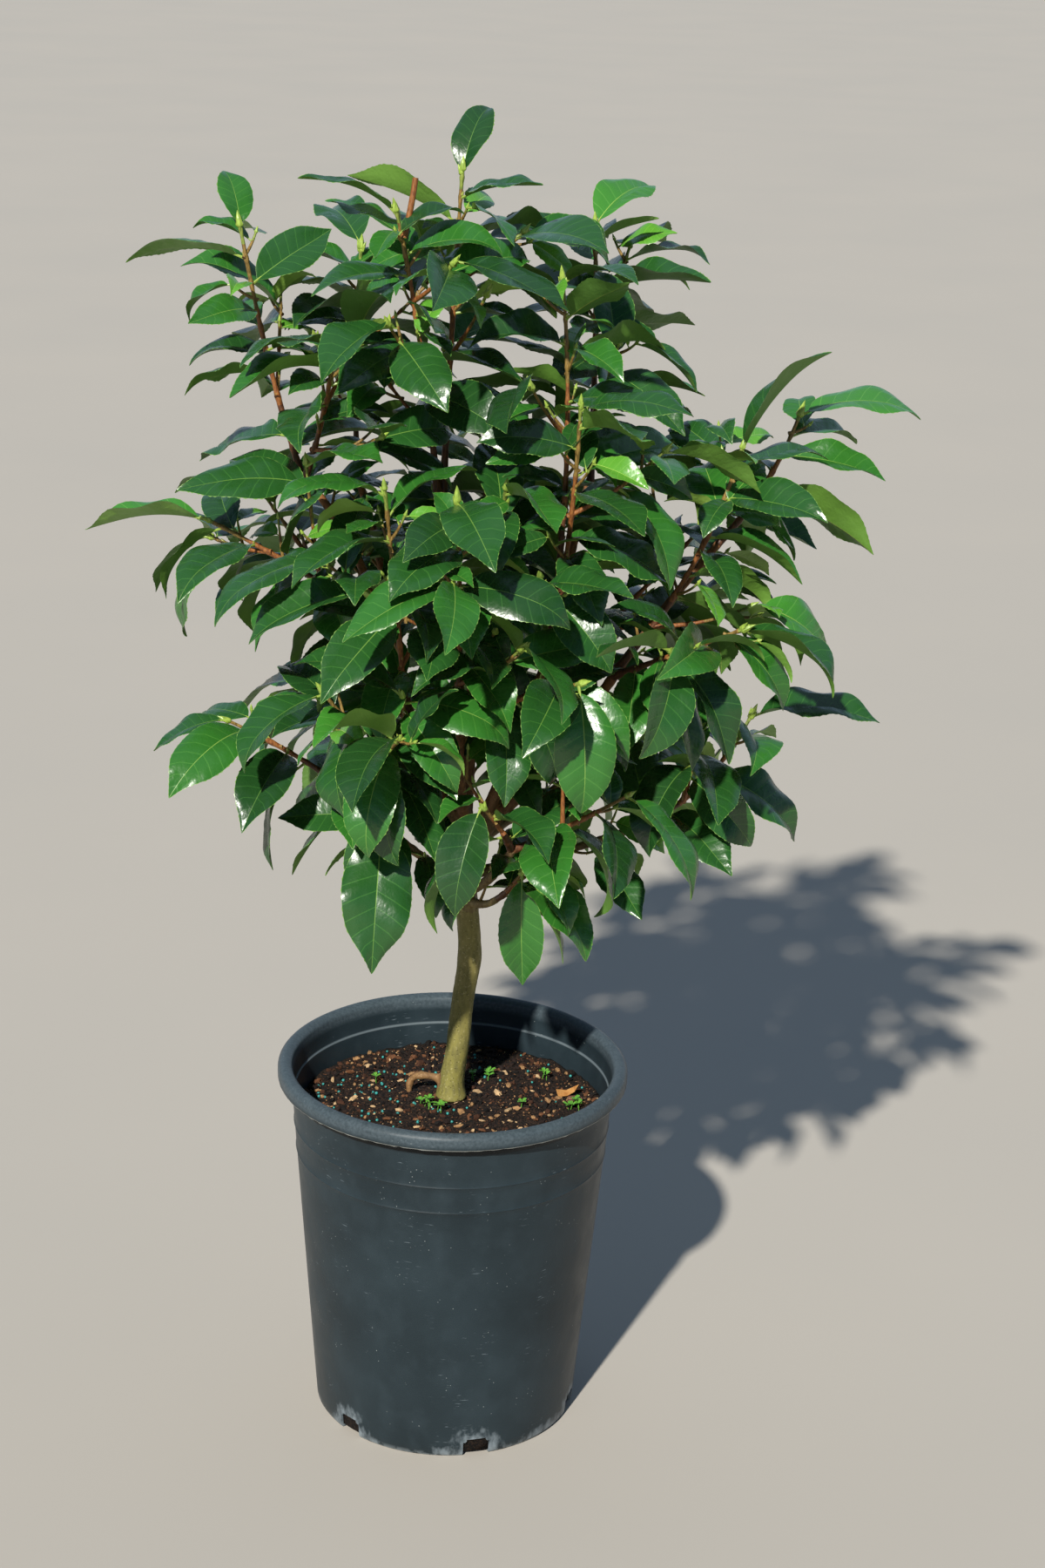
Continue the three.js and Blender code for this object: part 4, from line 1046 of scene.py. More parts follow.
# %% Table of masses
MASSES = [
    ("front_left", "front_left", (-50, -84, 720), (-64, -112, 852), 11, 3, 20, (-165, 30, 92, 60)),
    ("front_left_low", "front_left", (-74, -92, 628), (-112, -120, 690), 6, 1, 80, (-150, -5, 96, 58)),
    ("left_low", "left_low", (-138, -64, 620), (-192, -70, 646), 6, 0, 250, (-172, 0, 66, 58)),
    ("left_low_front", "left_low", (-82, -92, 586), (-56, -114, 572), 4, 0, 200, (-92, -32, 124, 58)),
    ("left_middle", "left", (-154, -14, 768), (-212, -16, 796), 9, 2, 120, (178, 14, 100, 44)),
    ("left_top", "left_upper", (-160, 10, 900), (-184, 10, 1030), 11, 1, 190, (110, 74, 58, 50)),
    ("left_inner", "left_upper", (-112, -26, 880), (-104, -50, 950), 7, 2, 10, (-150, 25, 92, 58)),
    ("centre", "centre", (24, -30, 750), (30, -80, 846), 10, 2, 60, (-60, 20, 92, 58)),
    ("top_left", "centre_upper", (-40, -12, 960), (-62, -30, 1050), 11, 3, 150, (190, 46, 84, 58)),
    ("top", "centre_upper", (-16, 14, 960), (-10, 12, 1078), 12, 3, 206, (62, 76, 78, 62)),
    ("front", "centre_front", (-2, -110, 740), (-8, -136, 850), 10, 3, 100, (-80, 10, 100, 58)),
    ("front_low", "centre_front", (44, -108, 680), (96, -144, 706), 6, 1, 255, (-78, -45, 108, 58)),
    ("right_centre", "right_centre", (84, -76, 810), (84, -98, 918), 11, 2, 330, (-30, 30, 92, 58)),
    ("top_right", "right_centre", (86, -38, 860), (68, -30, 1002), 12, 2, 200, (-40, 38, 80, 60)),
    ("right_upper", "right", (190, -56, 770), (214, -56, 880), 11, 2, 60, (10, 70, 108, 36)),
    ("right_middle", "right", (176, -84, 716), (222, -104, 742), 6, 1, 10, (-20, 5, 98, 58)),
    ("right_outer", "right_outer", (246, 6, 830), (266, 16, 892), 7, 0, 250, (-4, 30, 104, 58)),
    ("right_low", "right_low", (206, 8, 556), (244, 26, 636), 8, 1, 330, (-6, 25, 112, 58)),
    ("front_low_right", "front_low", (92, -98, 572), (138, -104, 604), 7, 1, 280, (-35, -15, 104, 58)),
    ("front_foot", "front_low", (34, -112, 574), (16, -132, 600), 7, 1, 220, (-115, -36, 94, 58)),
    ("foot", "foot", (44, -58, 500), (54, -70, 524), 5, 0, 150, (-92, -68, 98, 40)),
    ("back_left", "back_left", (-122, 100, 720), (-178, 126, 790), 10, 2, 70, (145, 20, 96, 58)),
    ("back_left_top", "back_left_upper", (-98, 112, 900), (-92, 116, 1000), 10, 2, 0, (120, 40, 92, 58)),
    ("back_right", "back_right", (156, 104, 720), (232, 128, 800), 10, 2, 130, (25, 15, 98, 58)),
    ("back_right_top", "back_right_upper", (104, 114, 930), (98, 118, 1026), 10, 2, 30, (50, 45, 92, 58)),
    ("back", "back", (14, 144, 730), (16, 180, 846), 11, 2, 30, (85, 25, 96, 58)),
    ("back_low", "back", (24, 148, 650), (40, 190, 670), 6, 1, 110, (80, -20, 98, 58)),
    ("back_low_left", "back_low_left", (-106, 112, 584), (-144, 132, 622), 7, 1, 200, (140, -5, 98, 58)),
    ("back_low_right", "back_low_right", (142, 116, 570), (186, 134, 606), 7, 1, 310, (40, -5, 98, 58)),
]
print("masses of foliage:", len(MASSES))

# %% [markdown]
# Twigs and leaves may not grow through one another. Each piece of wood is therefore kept as a
# row of places with a radius, and a new twig or leaf has to keep its distance from them.
# Blender could find touching meshes, but only once they are made; here the test comes first.

# %% Room round the wood
WOOD_SAMPLES, TRUNK_SAMPLES = 24, 48


def wood_points(line, samples, first=0.0):
    """Places along a piece of wood with the wood's radius there, as rows of four numbers."""
    shares = first + (1 - first) * np.arange(samples + 1) / samples
    return np.column_stack([line.at(shares), line.radius_at(shares)])


def squares(places, others):
    """The squared distance from each place to each of the others."""
    x, y, z = (places[:, None, k] - others[None, :, k] for k in range(3))
    return x * x + y * y + z * z


def clear_of(places, wood, room):
    """Whether all the places keep their room from all the wood."""
    return bool((squares(places, wood) > (wood[:, 3] + room) ** 2).all())


limb_wood = np.concatenate(
    [wood_points(trunk_line, TRUNK_SAMPLES)] + [wood_points(line, WOOD_SAMPLES) for line in boughs.values()]
)
print("places on trunk and boughs:", len(limb_wood))

# %% [markdown]
# The stem of a mass carries its bough on. It starts a hair beyond the bough's end, and where
# two masses share one bough, each stem starts a little to its own side.

# %% Stems of the masses
STEM_RADII = (2.7, 1.3)
WOOD_SWELL = 1.15


def shoot_line(start, bend, tip, radii):
    return BendingLine(start, bend, tip, lambda s: radii[0] + (radii[1] - radii[0]) * np.asarray(s, float))


def grow_stem(bough_name, bend, tip):
    """A stem starts clear of its bough's tip, and beside its twin where two share one tip."""
    bough = boughs[bough_name]
    end, heading = bough.at(1.0), bough.heading(1.0)
    across = lambda v: v - heading * (v @ heading)
    foot = STEM_RADII[0] * WOOD_SWELL
    slant = np.linalg.norm(across(unit(bend - end)))
    start = end + heading * (GAP + foot * slant)
    twins = [np.array(row[2], float) for row in MASSES if row[1] == bough_name]
    twin = next((other for other in twins if (other != bend).any()), None)
    if twin is not None:
        start = start + unit(across(bend - twin)) * (foot + GAP)
    return shoot_line(start, bend, tip, STEM_RADII)


masses = []
for number, (name, bough_name, bend, tip, leaf_count, twig_count, turn, top_leaf) in enumerate(MASSES):
    stem = grow_stem(bough_name, np.array(bend, float), np.array(tip, float))
    shoot = {"line": stem, "leaf_count": leaf_count, "turn": turn, "top_leaf": top_leaf, "number": 0}
    wood = wood_points(stem, WOOD_SAMPLES)
    masses.append(
        {"name": name, "number": number, "shoots": [shoot], "wood": wood, "twigs": twig_count, "turn": turn}
    )
print("stems:", len(masses))

# %% [markdown]
# Side twigs spread from the stem at an open angle and turn up to the light, mostly longer low
# down. From one to the next they turn by 137.5 degrees, as on most plants, so that no twig
# shades the one below.

# %% Way of a side twig
TWIG_RADII = (1.7, 1.1)
TWIG_LENGTH, TWIG_LEAVES = 84.0, 5
TWIG_FIRST, TWIG_LAST = 0.06, 0.72
TWIG_TURN, TWIG_LEAF_TURN, TWIG_TRY_TURN = 70.0, 200.0, 1.3
TWIG_OPEN, TWIG_SIZE = (48, 64), (0.75, 1.15)
TWIG_LOWEST_LENGTH, TWIG_SHORTER_ABOVE, TWIG_BEND = 1.15, 0.35, 0.6
TWIG_RISE, TWIG_LOWEST_SLOPE = 0.22, -0.1


def spreading(line, share, open_angle, turn):
    """The direction that leaves a line at an opening angle, turned round it."""
    heading, side, other = frame_at(line, share)
    radial = side * math.cos(turn) + other * math.sin(turn)
    return heading * math.cos(open_angle) + radial * math.sin(open_angle)


def twig_shoot(mass, order, extra_turn):
    stem = mass["shoots"][0]["line"]
    share = TWIG_FIRST + (TWIG_LAST - TWIG_FIRST) * (order + 0.5) / mass["twigs"]
    turn = math.radians(mass["turn"] + TWIG_TURN + order * GOLDEN_ANGLE + extra_turn * TWIG_TRY_TURN)
    open_angle = math.radians(dealt(TWIG_OPEN, mass["number"], order, 1))
    shortening = TWIG_LOWEST_LENGTH - TWIG_SHORTER_ABOVE * share
    length = TWIG_LENGTH * dealt(TWIG_SIZE, mass["number"], order, 2) * shortening
    out = spreading(stem, share, open_angle, turn)
    out[2] = max(out[2], TWIG_LOWEST_SLOPE)
    start = stem.at(share)
    tip = start + out * length + np.array([0, 0, length * TWIG_RISE])
    line = shoot_line(start, start + out * length * TWIG_BEND, tip, TWIG_RADII)
    leaf_turn = mass["turn"] + TWIG_LEAF_TURN * (order + 1)
    return {"line": line, "leaf_count": TWIG_LEAVES, "turn": leaf_turn, "top_leaf": None}


print("a side twig is about", TWIG_LENGTH, "mm long")

# %% [markdown]
# A twig that would come too near to a limb or to the wood of another mass is turned and tried
# again. The foot of a twig is not tested, as the lowest twigs start close to their bough.

# %% Side twigs
TWIG_LIMB_ROOM, TWIG_ROOM, TWIG_FREE_FROM = 10.0, 25.0, 0.2
TURNS = (0, 26, -26, 52, -52, 78, -78, 104)


def grow_twig(mass, order, others):
    for extra_turn in TURNS:
        twig = twig_shoot(mass, order, extra_turn)
        points = wood_points(twig["line"], WOOD_SAMPLES, TWIG_FREE_FROM)
        if clear_of(points, limb_wood, TWIG_LIMB_ROOM) and clear_of(points, others, TWIG_ROOM):
            twig["number"] = len(mass["shoots"])
            mass["shoots"].append(twig)
            mass["wood"] = np.concatenate([mass["wood"], points])
            return


def others_wood(mass):
    return np.concatenate([other["wood"] for other in masses if other is not mass])


for mass in masses:
    others = others_wood(mass)
    for order in range(mass["twigs"]):
        grow_twig(mass, order, others)
print("side twigs:", sum(len(mass["shoots"]) - 1 for mass in masses))

# %% [markdown]
# A leaf is set by where its stalk is rooted, the way it points, the way its upper face looks,
# and by its length, width and droop. Leaves spread wide at the foot of a shoot and close up
# towards its bud. The last leaf of a stem has its aim given in the table of masses, because
# it draws the outline.

# %% Aim of a leaf
LEAF_BEND_LOW, LEAF_BEND_HIGH, CROWN_FOOT, CROWN_TOP = 1.15, 0.6, 480.0, 1050.0


def aimed_leaf(root, out, lift, roll, length, droop, width):
    face = unit(lift - out * (lift @ out))
    face = face * math.cos(roll) + np.cross(out, face) * math.sin(roll)
    return {
        "root": root, "out": out, "face": face, "side": np.cross(out, face),
        "length": length, "droop": droop, "width": width,
    }


def bend_at(root):
    """Leaves low on the shrub hang, and those near its top stand out straighter."""
    climb = min(1.0, max(0.0, (root[2] - CROWN_FOOT) / (CROWN_TOP - CROWN_FOOT)))
    return LEAF_BEND_LOW + (LEAF_BEND_HIGH - LEAF_BEND_LOW) * climb


print("bend low down and at the top:", bend_at((0, 0, CROWN_FOOT)), bend_at((0, 0, CROWN_TOP)))

# %% Leaf of a shoot
LEAF_LENGTH, LEAF_WIDTH_SHARE = 92.0, 0.48
LEAF_SIZE, LEAF_SLIMNESS, LEAF_ROLL, LEAF_BEND = (0.84, 1.18), (0.9, 1.1), (-40, 40), (34, 84)
LEAF_OPEN_AT_FOOT, LEAF_OPEN_AT_TIP, LEAF_OPEN_PLAY = 82.0, 42.0, (-5, 5)
LEAF_LEVELLING, LEAF_SAG, LEAF_FACE_LEAN, LEAF_SPACING_PLAY = 0.72, 0.06, 0.25, 0.4
STEM_FIRST_LEAF, TWIG_FIRST_LEAF, LAST_LEAF = 0.12, 0.25, 0.97
TOP_LEAF_TURNS, MOST_SHOOTS = 3, 8
UP = np.array([0.0, 0.0, 1.0])


def shoot_leaf(mass, shoot, order, attempt):
    line, key = shoot["line"], mass["number"] * MOST_SHOOTS + shoot["number"]
    first = STEM_FIRST_LEAF if shoot["number"] == 0 else TWIG_FIRST_LEAF
    step = order + LEAF_SPACING_PLAY * chance(key, order, 3)
    share = first + (LAST_LEAF - first) * step / (shoot["leaf_count"] - 1 + LEAF_SPACING_PLAY)
    root = line.at(share)
    roll = math.radians(dealt(LEAF_ROLL, key, order, 5))
    slimness = LEAF_WIDTH_SHARE * dealt(LEAF_SLIMNESS, key, order, 7)
    if shoot["top_leaf"] and order == shoot["leaf_count"] - 1 and attempt < TOP_LEAF_TURNS:
        azimuth, slope, length, bend = shoot["top_leaf"]
        azimuth, slope = math.radians(azimuth + TURNS[attempt] / 2), math.radians(slope)
        level = math.cos(slope)
        out = np.array([level * math.cos(azimuth), level * math.sin(azimuth), math.sin(slope)])
        leaf = aimed_leaf(root, out, UP, roll / 2, length, math.radians(bend), length * slimness)
    else:
        length = LEAF_LENGTH * dealt(LEAF_SIZE, key, order, 4)
        droop = math.radians(dealt(LEAF_BEND, key, order, 6)) * bend_at(root)
        turn = math.radians(shoot["turn"] + order * GOLDEN_ANGLE + TURNS[attempt])
        opening = LEAF_OPEN_AT_FOOT + (LEAF_OPEN_AT_TIP - LEAF_OPEN_AT_FOOT) * share
        out = spreading(line, share, math.radians(opening + dealt(LEAF_OPEN_PLAY, key, order, 8)), turn)
        out[2] = out[2] * LEAF_LEVELLING - LEAF_SAG
        lift = UP + line.heading(share) * LEAF_FACE_LEAN
        leaf = aimed_leaf(root, unit(out), lift, roll, length, droop, length * slimness)
    leaf.update(share=share, key=key, order=order)
    return leaf


first_leaf = shoot_leaf(masses[0], masses[0]["shoots"][0], 0, 0)
print("first leaf:", round(first_leaf["length"]), "mm long and", round(first_leaf["width"]), "mm wide")

# %% [markdown]
# A leaf's room is measured before its mesh exists, at 41 places of a plain folded and drooping
# blade. Any place on a leaf is given by its share of the length, its distance from the midrib
# and its height over the blade, and the finished mesh uses the same function.

# %% Places on a leaf
LEAF_FOLD, PETIOLE_SHARE, PETIOLE_RADIUS = 17.0, 0.075, 1.3


def rule_half_width(leaf, share):
    along = np.clip((share - PETIOLE_SHARE) / (1 - PETIOLE_SHARE), 0, 1)
    blade = leaf["width"] / 2 * np.sin(math.pi * along**0.9) ** 0.8
    wide = np.maximum(blade, PETIOLE_RADIUS * (1 - along))
    return np.where(share <= PETIOLE_SHARE, PETIOLE_RADIUS, np.where(along >= 1, 0.0, wide))


def on_leaf(leaf, share, half, lifted):
    """Places on a leaf: a share of its length, a distance from the midrib, and a height."""
    bent = leaf["droop"] * share
    along = leaf["length"] * np.sin(bent) / leaf["droop"]
    drop = leaf["length"] * (1 - np.cos(bent)) / leaf["droop"]
    up = leaf["face"] * np.cos(bent)[..., None] + leaf["out"] * np.sin(bent)[..., None]
    flat = leaf["out"] * along[..., None] - leaf["face"] * drop[..., None] + leaf["side"] * half[..., None]
    return leaf["root"] + flat + up * lifted[..., None]


ROOM_ROWS = np.array([0.2, 0.3, 0.4, 0.5, 0.6, 0.7, 0.8, 0.9])
ROOM_COLUMNS = np.array([-1, -0.5, 0, 0.5, 1])


def leaf_samples(leaf):
    """The places at which a leaf's room is measured, with its tip last."""
    share, across = (grid.ravel() for grid in np.meshgrid(ROOM_ROWS, ROOM_COLUMNS, indexing="ij"))
    share, across = np.append(share, 1.0), np.append(across, 0.0)
    half = rule_half_width(leaf, share) * across
    fold = math.radians(LEAF_FOLD)
    return on_leaf(leaf, share, half * math.cos(fold), np.abs(half) * math.sin(fold))


print("measuring places on a leaf:", len(leaf_samples(first_leaf)))

# %% [markdown]
# A leaf has to stay near its own wood, so that masses keep apart, and clear of other wood and
# leaves. It is tried eight times, turned to one side or the other in between, and then left
# out, which gives the gaps that a real crown has.

# %% Room for a leaf
LEAF_ROOM, OWN_LEAF_ROOM, OWN_STEM_ROOM, WOOD_ROOM = 9.0, 6.5, 1.0, 5.0
SPACE_REACH, LEAF_REACH = 125.0, 0.62

leaves = []


def leaf_fits(mass, leaf, room, own_room):
    places = leaf["places"]
    if squares(places, mass["wood"]).min(1).max() >= SPACE_REACH**2:
        return False
    if not clear_of(places, mass["foreign_wood"], WOOD_ROOM):
        return False
    if not clear_of(places[len(ROOM_COLUMNS) :], mass["wood"], OWN_STEM_ROOM):
        return False
    for other in leaves:
        if math.dist(leaf["middle"], other["middle"]) > (leaf["length"] + other["length"]) * LEAF_REACH:
            continue
        needed = own_room if other["mass"] is mass else room
        if squares(places, other["places"]).min() <= needed**2:
            return False
    return True


def try_leaf(mass, leaf, room=LEAF_ROOM, own_room=OWN_LEAF_ROOM):
    leaf["places"] = leaf_samples(leaf)
    leaf["middle"] = on_leaf(leaf, np.array(0.5), np.array(0.0), np.array(0.0)).tolist()
    leaf["mass"] = mass
    if leaf_fits(mass, leaf, room, own_room):
        leaves.append(leaf)
        return True
    return False


def grow_leaf(mass, shoot, order):
    any(try_leaf(mass, shoot_leaf(mass, shoot, order, attempt)) for attempt in range(len(TURNS)))


print("room between leaves:", LEAF_ROOM, "mm, and in one mass:", OWN_LEAF_ROOM, "mm")

# %% [markdown]
# The order matters, because each leaf takes room from the next. The aimed leaves go first, as
# they may not be the ones left out, and then each shoot is filled from its tip down.

# %% Leaves by the rule
for mass in masses:
    mass["foreign_wood"] = np.concatenate([limb_wood, others_wood(mass)])
for mass in masses:
    grow_leaf(mass, mass["shoots"][0], mass["shoots"][0]["leaf_count"] - 1)
for mass in masses:
    for shoot in mass["shoots"]:
        highest = shoot["leaf_count"] - (2 if shoot["number"] == 0 else 1)
        for order in range(highest, -1, -1):
            grow_leaf(mass, shoot, order)
print("leaves by the rule:", len(leaves))

# %% [markdown]
# ## Finer twigs
# The solids stop at the side twigs. A real shoot goes on to short spurs, each with one or two
# young leaves and a bud, so the same rule is carried one step further here: a spur leaves its
# shoot at an open angle, and its small leaves are tried and turned as the others are. They
# stay within the same reach, so the crown keeps its outline.

# %% Way of a spur
SPUR_LENGTH, SPUR_RADII, SPUR_OPEN = (15.0, 30.0), (1.15, 0.8), (38, 62)
SPUR_TURN, SPUR_TURN_STEP, SPUR_RISE = 63, GOLDEN_ANGLE * 1.7, 0.35
SPUR_FIRST, SPUR_REST, SPUR_KEY = 0.3, 0.6, 1000


def spur_shoot(mass, shoot, n, count):
    key = SPUR_KEY + mass["number"] * MOST_SHOOTS + shoot["number"]
    share = SPUR_FIRST + SPUR_REST * (n + chance(key, n, 1)) / count
    turn = math.radians(shoot["turn"] + SPUR_TURN + n * SPUR_TURN_STEP)
    out = spreading(shoot["line"], share, math.radians(dealt(SPUR_OPEN, key, n, 2)), turn)
    length = dealt(SPUR_LENGTH, key, n, 3)
    start = shoot["line"].at(share)
    tip = start + out * length + np.array([0, 0, length * SPUR_RISE])
    line = shoot_line(start, start + out * length * TWIG_BEND, tip, SPUR_RADII)
    return {"line": line, "key": key, "order": n, "turn": math.degrees(turn), "leaves": 0}


print("a spur is", SPUR_LENGTH[0], "to", SPUR_LENGTH[1], "mm long")

# %% Leaves of a spur
SPUR_LEAVES, SPUR_LEAF_ROOM, SPUR_DROOP = 2, 4.5, 0.8
SPUR_TOP_LEAF, SPUR_LEAF_STEP, SPUR_LEAF_OPEN, SPUR_LEAF_OPENING = 0.86, 0.3, 52, 14


def spur_leaf(spur, k, attempt, size):
    key, n = spur["key"], spur["order"] * 4 + k
    share = SPUR_TOP_LEAF - SPUR_LEAF_STEP * k
    turn = math.radians(spur["turn"] + k * GOLDEN_ANGLE + TURNS[attempt])
    open_angle = math.radians(SPUR_LEAF_OPEN + SPUR_LEAF_OPENING * k)
    out = spreading(spur["line"], share, open_angle, turn)
    out[2] = out[2] * LEAF_LEVELLING - LEAF_SAG
    length = LEAF_LENGTH * dealt(size, key, n, 4)
    lift = UP + spur["line"].heading(share) * LEAF_FACE_LEAN
    roll = math.radians(dealt(LEAF_ROLL, key, n, 5))
    droop = math.radians(dealt(LEAF_BEND, key, n, 6) * SPUR_DROOP)
    leaf = aimed_leaf(spur["line"].at(share), unit(out), lift, roll, length, droop, length * LEAF_WIDTH_SHARE)
    leaf.update(share=0.9, key=key, order=n)
    return leaf


def grow_spur_leaves(growth, spur, size, attempts):
    """Tries each leaf of a spur, and keeps the spur only where it bears one."""
    for k in range(SPUR_LEAVES):
        spur["leaves"] += any(
            try_leaf(growth, spur_leaf(spur, k, a, size), SPUR_LEAF_ROOM, SPUR_LEAF_ROOM)
            for a in range(attempts)
        )
    if spur["leaves"]:
        spurs.append(spur)


spurs = []
print("a spur bears up to", SPUR_LEAVES, "leaves")

# %% [markdown]
# A shoot has a spur every few centimetres. A spur that would come too near to a leaf, or to
# wood that isn't its own, is not grown, and one on which no leaf finds room is dropped.

# %% Spurs on the shoots
SPUR_EVERY, SPUR_ROOM = 44.0, 3.0
SPUR_LEAF_SIZE, SPUR_ATTEMPTS = (0.46, 0.72), 5

for mass in masses:
    for shoot in mass["shoots"]:
        count = max(1, int(shoot["line"].length / SPUR_EVERY))
        for n in range(count):
            spur = spur_shoot(mass, shoot, n, count)
            points = wood_points(spur["line"], 6, 0.5)
            if not clear_of(points, mass["foreign_wood"], WOOD_ROOM):
                continue
            if any(squares(points, leaf["places"]).min() < SPUR_ROOM**2 for leaf in leaves):
                continue
            grow_spur_leaves(mass, spur, SPUR_LEAF_SIZE, SPUR_ATTEMPTS)
print("spurs:", len(spurs), "and leaves in all:", len(leaves))

# %% [markdown]
# The boughs are not bare either. Below the masses they carry short spurs of their own, whose
# leaves close the middle of the crown and hide the fork. The same two functions grow them; a
# bough only has to say which wood is its own and which is its neighbours'.

# %% Spurs on the boughs
BOUGH_SPUR_EVERY, BOUGH_SPUR_KEY = 30.0, 3000
BOUGH_LEAF_SIZE = (0.6, 0.92)
INNER = "inner"
mass_wood = np.concatenate([mass["wood"] for mass in masses])


def bough_growth(number, line):
    """What the spur helpers need to know of a bough: its own wood and that of the others."""
    others = [wood_points(trunk_line, TRUNK_SAMPLES)]
    others += [wood_points(other, WOOD_SAMPLES) for other in boughs.values() if other is not line]
    own = wood_points(line, WOOD_SAMPLES)
    shoot = {"line": line, "number": 0, "turn": 360.0 * chance(number, 1, 70)}
    return {
        "name": INNER, "number": BOUGH_SPUR_KEY + number, "shoots": [shoot], "wood": own,
        "foreign_wood": np.concatenate([mass_wood, *others]),
    }


for number, line in enumerate(boughs.values()):
    growth = bough_growth(number, line)
    count = max(1, int(line.length / BOUGH_SPUR_EVERY))
    for n in range(count):
        spur = spur_shoot(growth, growth["shoots"][0], n, count)
        grow_spur_leaves(growth, spur, BOUGH_LEAF_SIZE, len(TURNS))
print("spurs with those of the boughs:", len(spurs), "and leaves in all:", len(leaves))

# %% [markdown]
# ## What a leaf is made of
# A camellia leaf is stiff and waxy: dark and glossy above, with a pale sunken midrib, eight
# pairs of side veins and a thin pale margin with fine teeth; dull and olive below. It is built
# as a closed grid. The rows slant forward to the margin as the veins do, so that a narrow row
# is a vein and every other one is a tooth. Colours that have a place, such as the veins, are
# then plain finishes dealt to faces and need no picture. Small leaves and those inside the
# crown get fewer rows, because nobody can count the teeth of a leaf in the shade.

# %% Rows and columns of a leaf
VEIN_PAIRS = 8
VEIN_HALF = 0.0038
VEIN_SLANT = 0.5
FIRST_VEIN, LAST_VEIN = 0.10, 0.88
TOP_COLUMNS, UNDER_COLUMNS = 8, 4
MARGIN_WIDTH = 0.32


def leaf_rows(rows_between):
    """The rows from stalk to tip: their shares, their teeth and which strips are veins."""
    rows, teeth, veins = [0.0, 0.035, 0.068], [0.0, 0.0, 0.2], [False, False, False]
    middles = np.linspace(FIRST_VEIN, LAST_VEIN, VEIN_PAIRS)
    gap = middles[1] - middles[0]
    for vein in middles:
        rows += [vein - VEIN_HALF, vein + VEIN_HALF]
        teeth += [-0.5, -0.5]
        veins += [True, False]
        between = rows_between if vein < LAST_VEIN - 1e-6 else rows_between - 1
        for k in range(1, between + 1):
            rows.append(vein + VEIN_HALF + (gap - 2 * VEIN_HALF) * k / (rows_between + 1))
            teeth.append(1.0 if k % 2 else -0.5)
            veins.append(False)
    rows += [0.972, 0.988]
    teeth += [0.4, 0.0]
    veins += [False, False]
    return np.array(rows), np.array(teeth), veins


print("rows of a large leaf:", len(leaf_rows(4)[0]), "and of a small one:", len(leaf_rows(2)[0]))

# %% [markdown]
# All leaves of one size share the same faces, only their corners differ. So the faces are
# listed once: seven strips above, of which the middle one is the midrib and the outer two the
# margin, five below, and triangles that close the tip.

# %% Faces of a leaf
UPPER, VEIN, UNDER, RIB, MARGIN, UNDER_RIB, STALK = range(7)


class LeafGrid:
    """The rows of a blade, its faces, and what each face is: blade, vein, margin, rib or underside."""

    def __init__(self, rows_between):
        self.share, self.teeth, self.is_vein = leaf_rows(rows_between)
        self.rows = len(self.share)
        self.faces, self.kinds = [], []
        for i in range(self.rows):
            self.add_row(i)
        foot = self.below(0)
        self.faces.append([*foot[1:-1], *(self.top(0, c) for c in range(TOP_COLUMNS - 1, -1, -1))])
        self.kinds.append(UNDER_RIB)

    def top(self, i, column):
        return i * TOP_COLUMNS + column

    def below(self, i):
        first = self.rows * TOP_COLUMNS + i * UNDER_COLUMNS
        return [self.top(i, 0), *range(first, first + UNDER_COLUMNS), self.top(i, TOP_COLUMNS - 1)]

    def add_row(self, i):
        tip, last = self.rows * (TOP_COLUMNS + UNDER_COLUMNS), i == self.rows - 1
        blade = VEIN if self.is_vein[i] else UPPER
        for c, kind in enumerate([MARGIN, blade, blade, RIB, blade, blade, MARGIN]):
            ahead = [tip] if last else [self.top(i + 1, c + 1), self.top(i + 1, c)]
            self.faces.append([self.top(i, c), self.top(i, c + 1), *ahead])
            self.kinds.append(kind)
        here = self.below(i)
        ahead = [] if last else self.below(i + 1)
        for k, kind in enumerate([UNDER, UNDER, UNDER_RIB, UNDER, UNDER]):
            middle = [tip] if last else [ahead[k], ahead[k + 1]]
            self.faces.append([here[k], *middle, here[k + 1]])
            self.kinds.append(kind)


SMALL_LEAF = 66.0
large_grid, small_grid = LeafGrid(4), LeafGrid(2)
for grid in (large_grid, small_grid):
    print("faces of a leaf:", len(grid.faces), "triangles:", sum(len(f) - 2 for f in grid.faces))


def grid_of(leaf):
    hidden = leaf["mass"]["name"] == INNER
    return small_grid if hidden or leaf["length"] < SMALL_LEAF else large_grid


# %% [markdown]
# No two blades have the same shape. Each one is folded along its midrib, curls down at the
# sides and waves along its margin, all by amounts that chance deals out. Between the veins the
# blade bulges a little, and below the midrib it has a keel. All of that could be sculpted on
# one leaf, but hundreds of copies of one leaf look like plastic.

# %% Outline and wrinkles of a leaf
WRINKLE = 0.16


def outline_share(s):
    """Half the width at a share of the blade, as a share of the widest: oval with a drawn-out point."""
    s = np.clip(s, 0.0, 1.0)
    ending = np.clip((s - 0.70) / 0.30, 0.0, 1.0)
    return np.sin(math.pi * s**0.88) ** 0.8 * (1 - 0.40 * ending**2 * (3 - 2 * ending))


def wrinkles(key, order, rows):
    """A slight unevenness from row to row, so that the gloss breaks up along the side veins."""
    draws = np.array([chance(key * 131 + order, i, 30) for i in range(rows)]) - 0.5
    return draws * WRINKLE


print("half the width at a third of a blade:", round(float(outline_share(0.33)), 2))

# %% Corners of a leaf
THICKNESS = 0.5
TOOTH = 0.42
FOLD, CURL, WAVE, BEATS = (13, 34), (0.0, 0.38), (0.9, 3.4), (1.4, 2.3)
RIB_HALF, RIB_TAPER, KEEL, QUILT = 0.46, 0.36, 0.75, 0.34
USUAL_WIDTH = 44.0


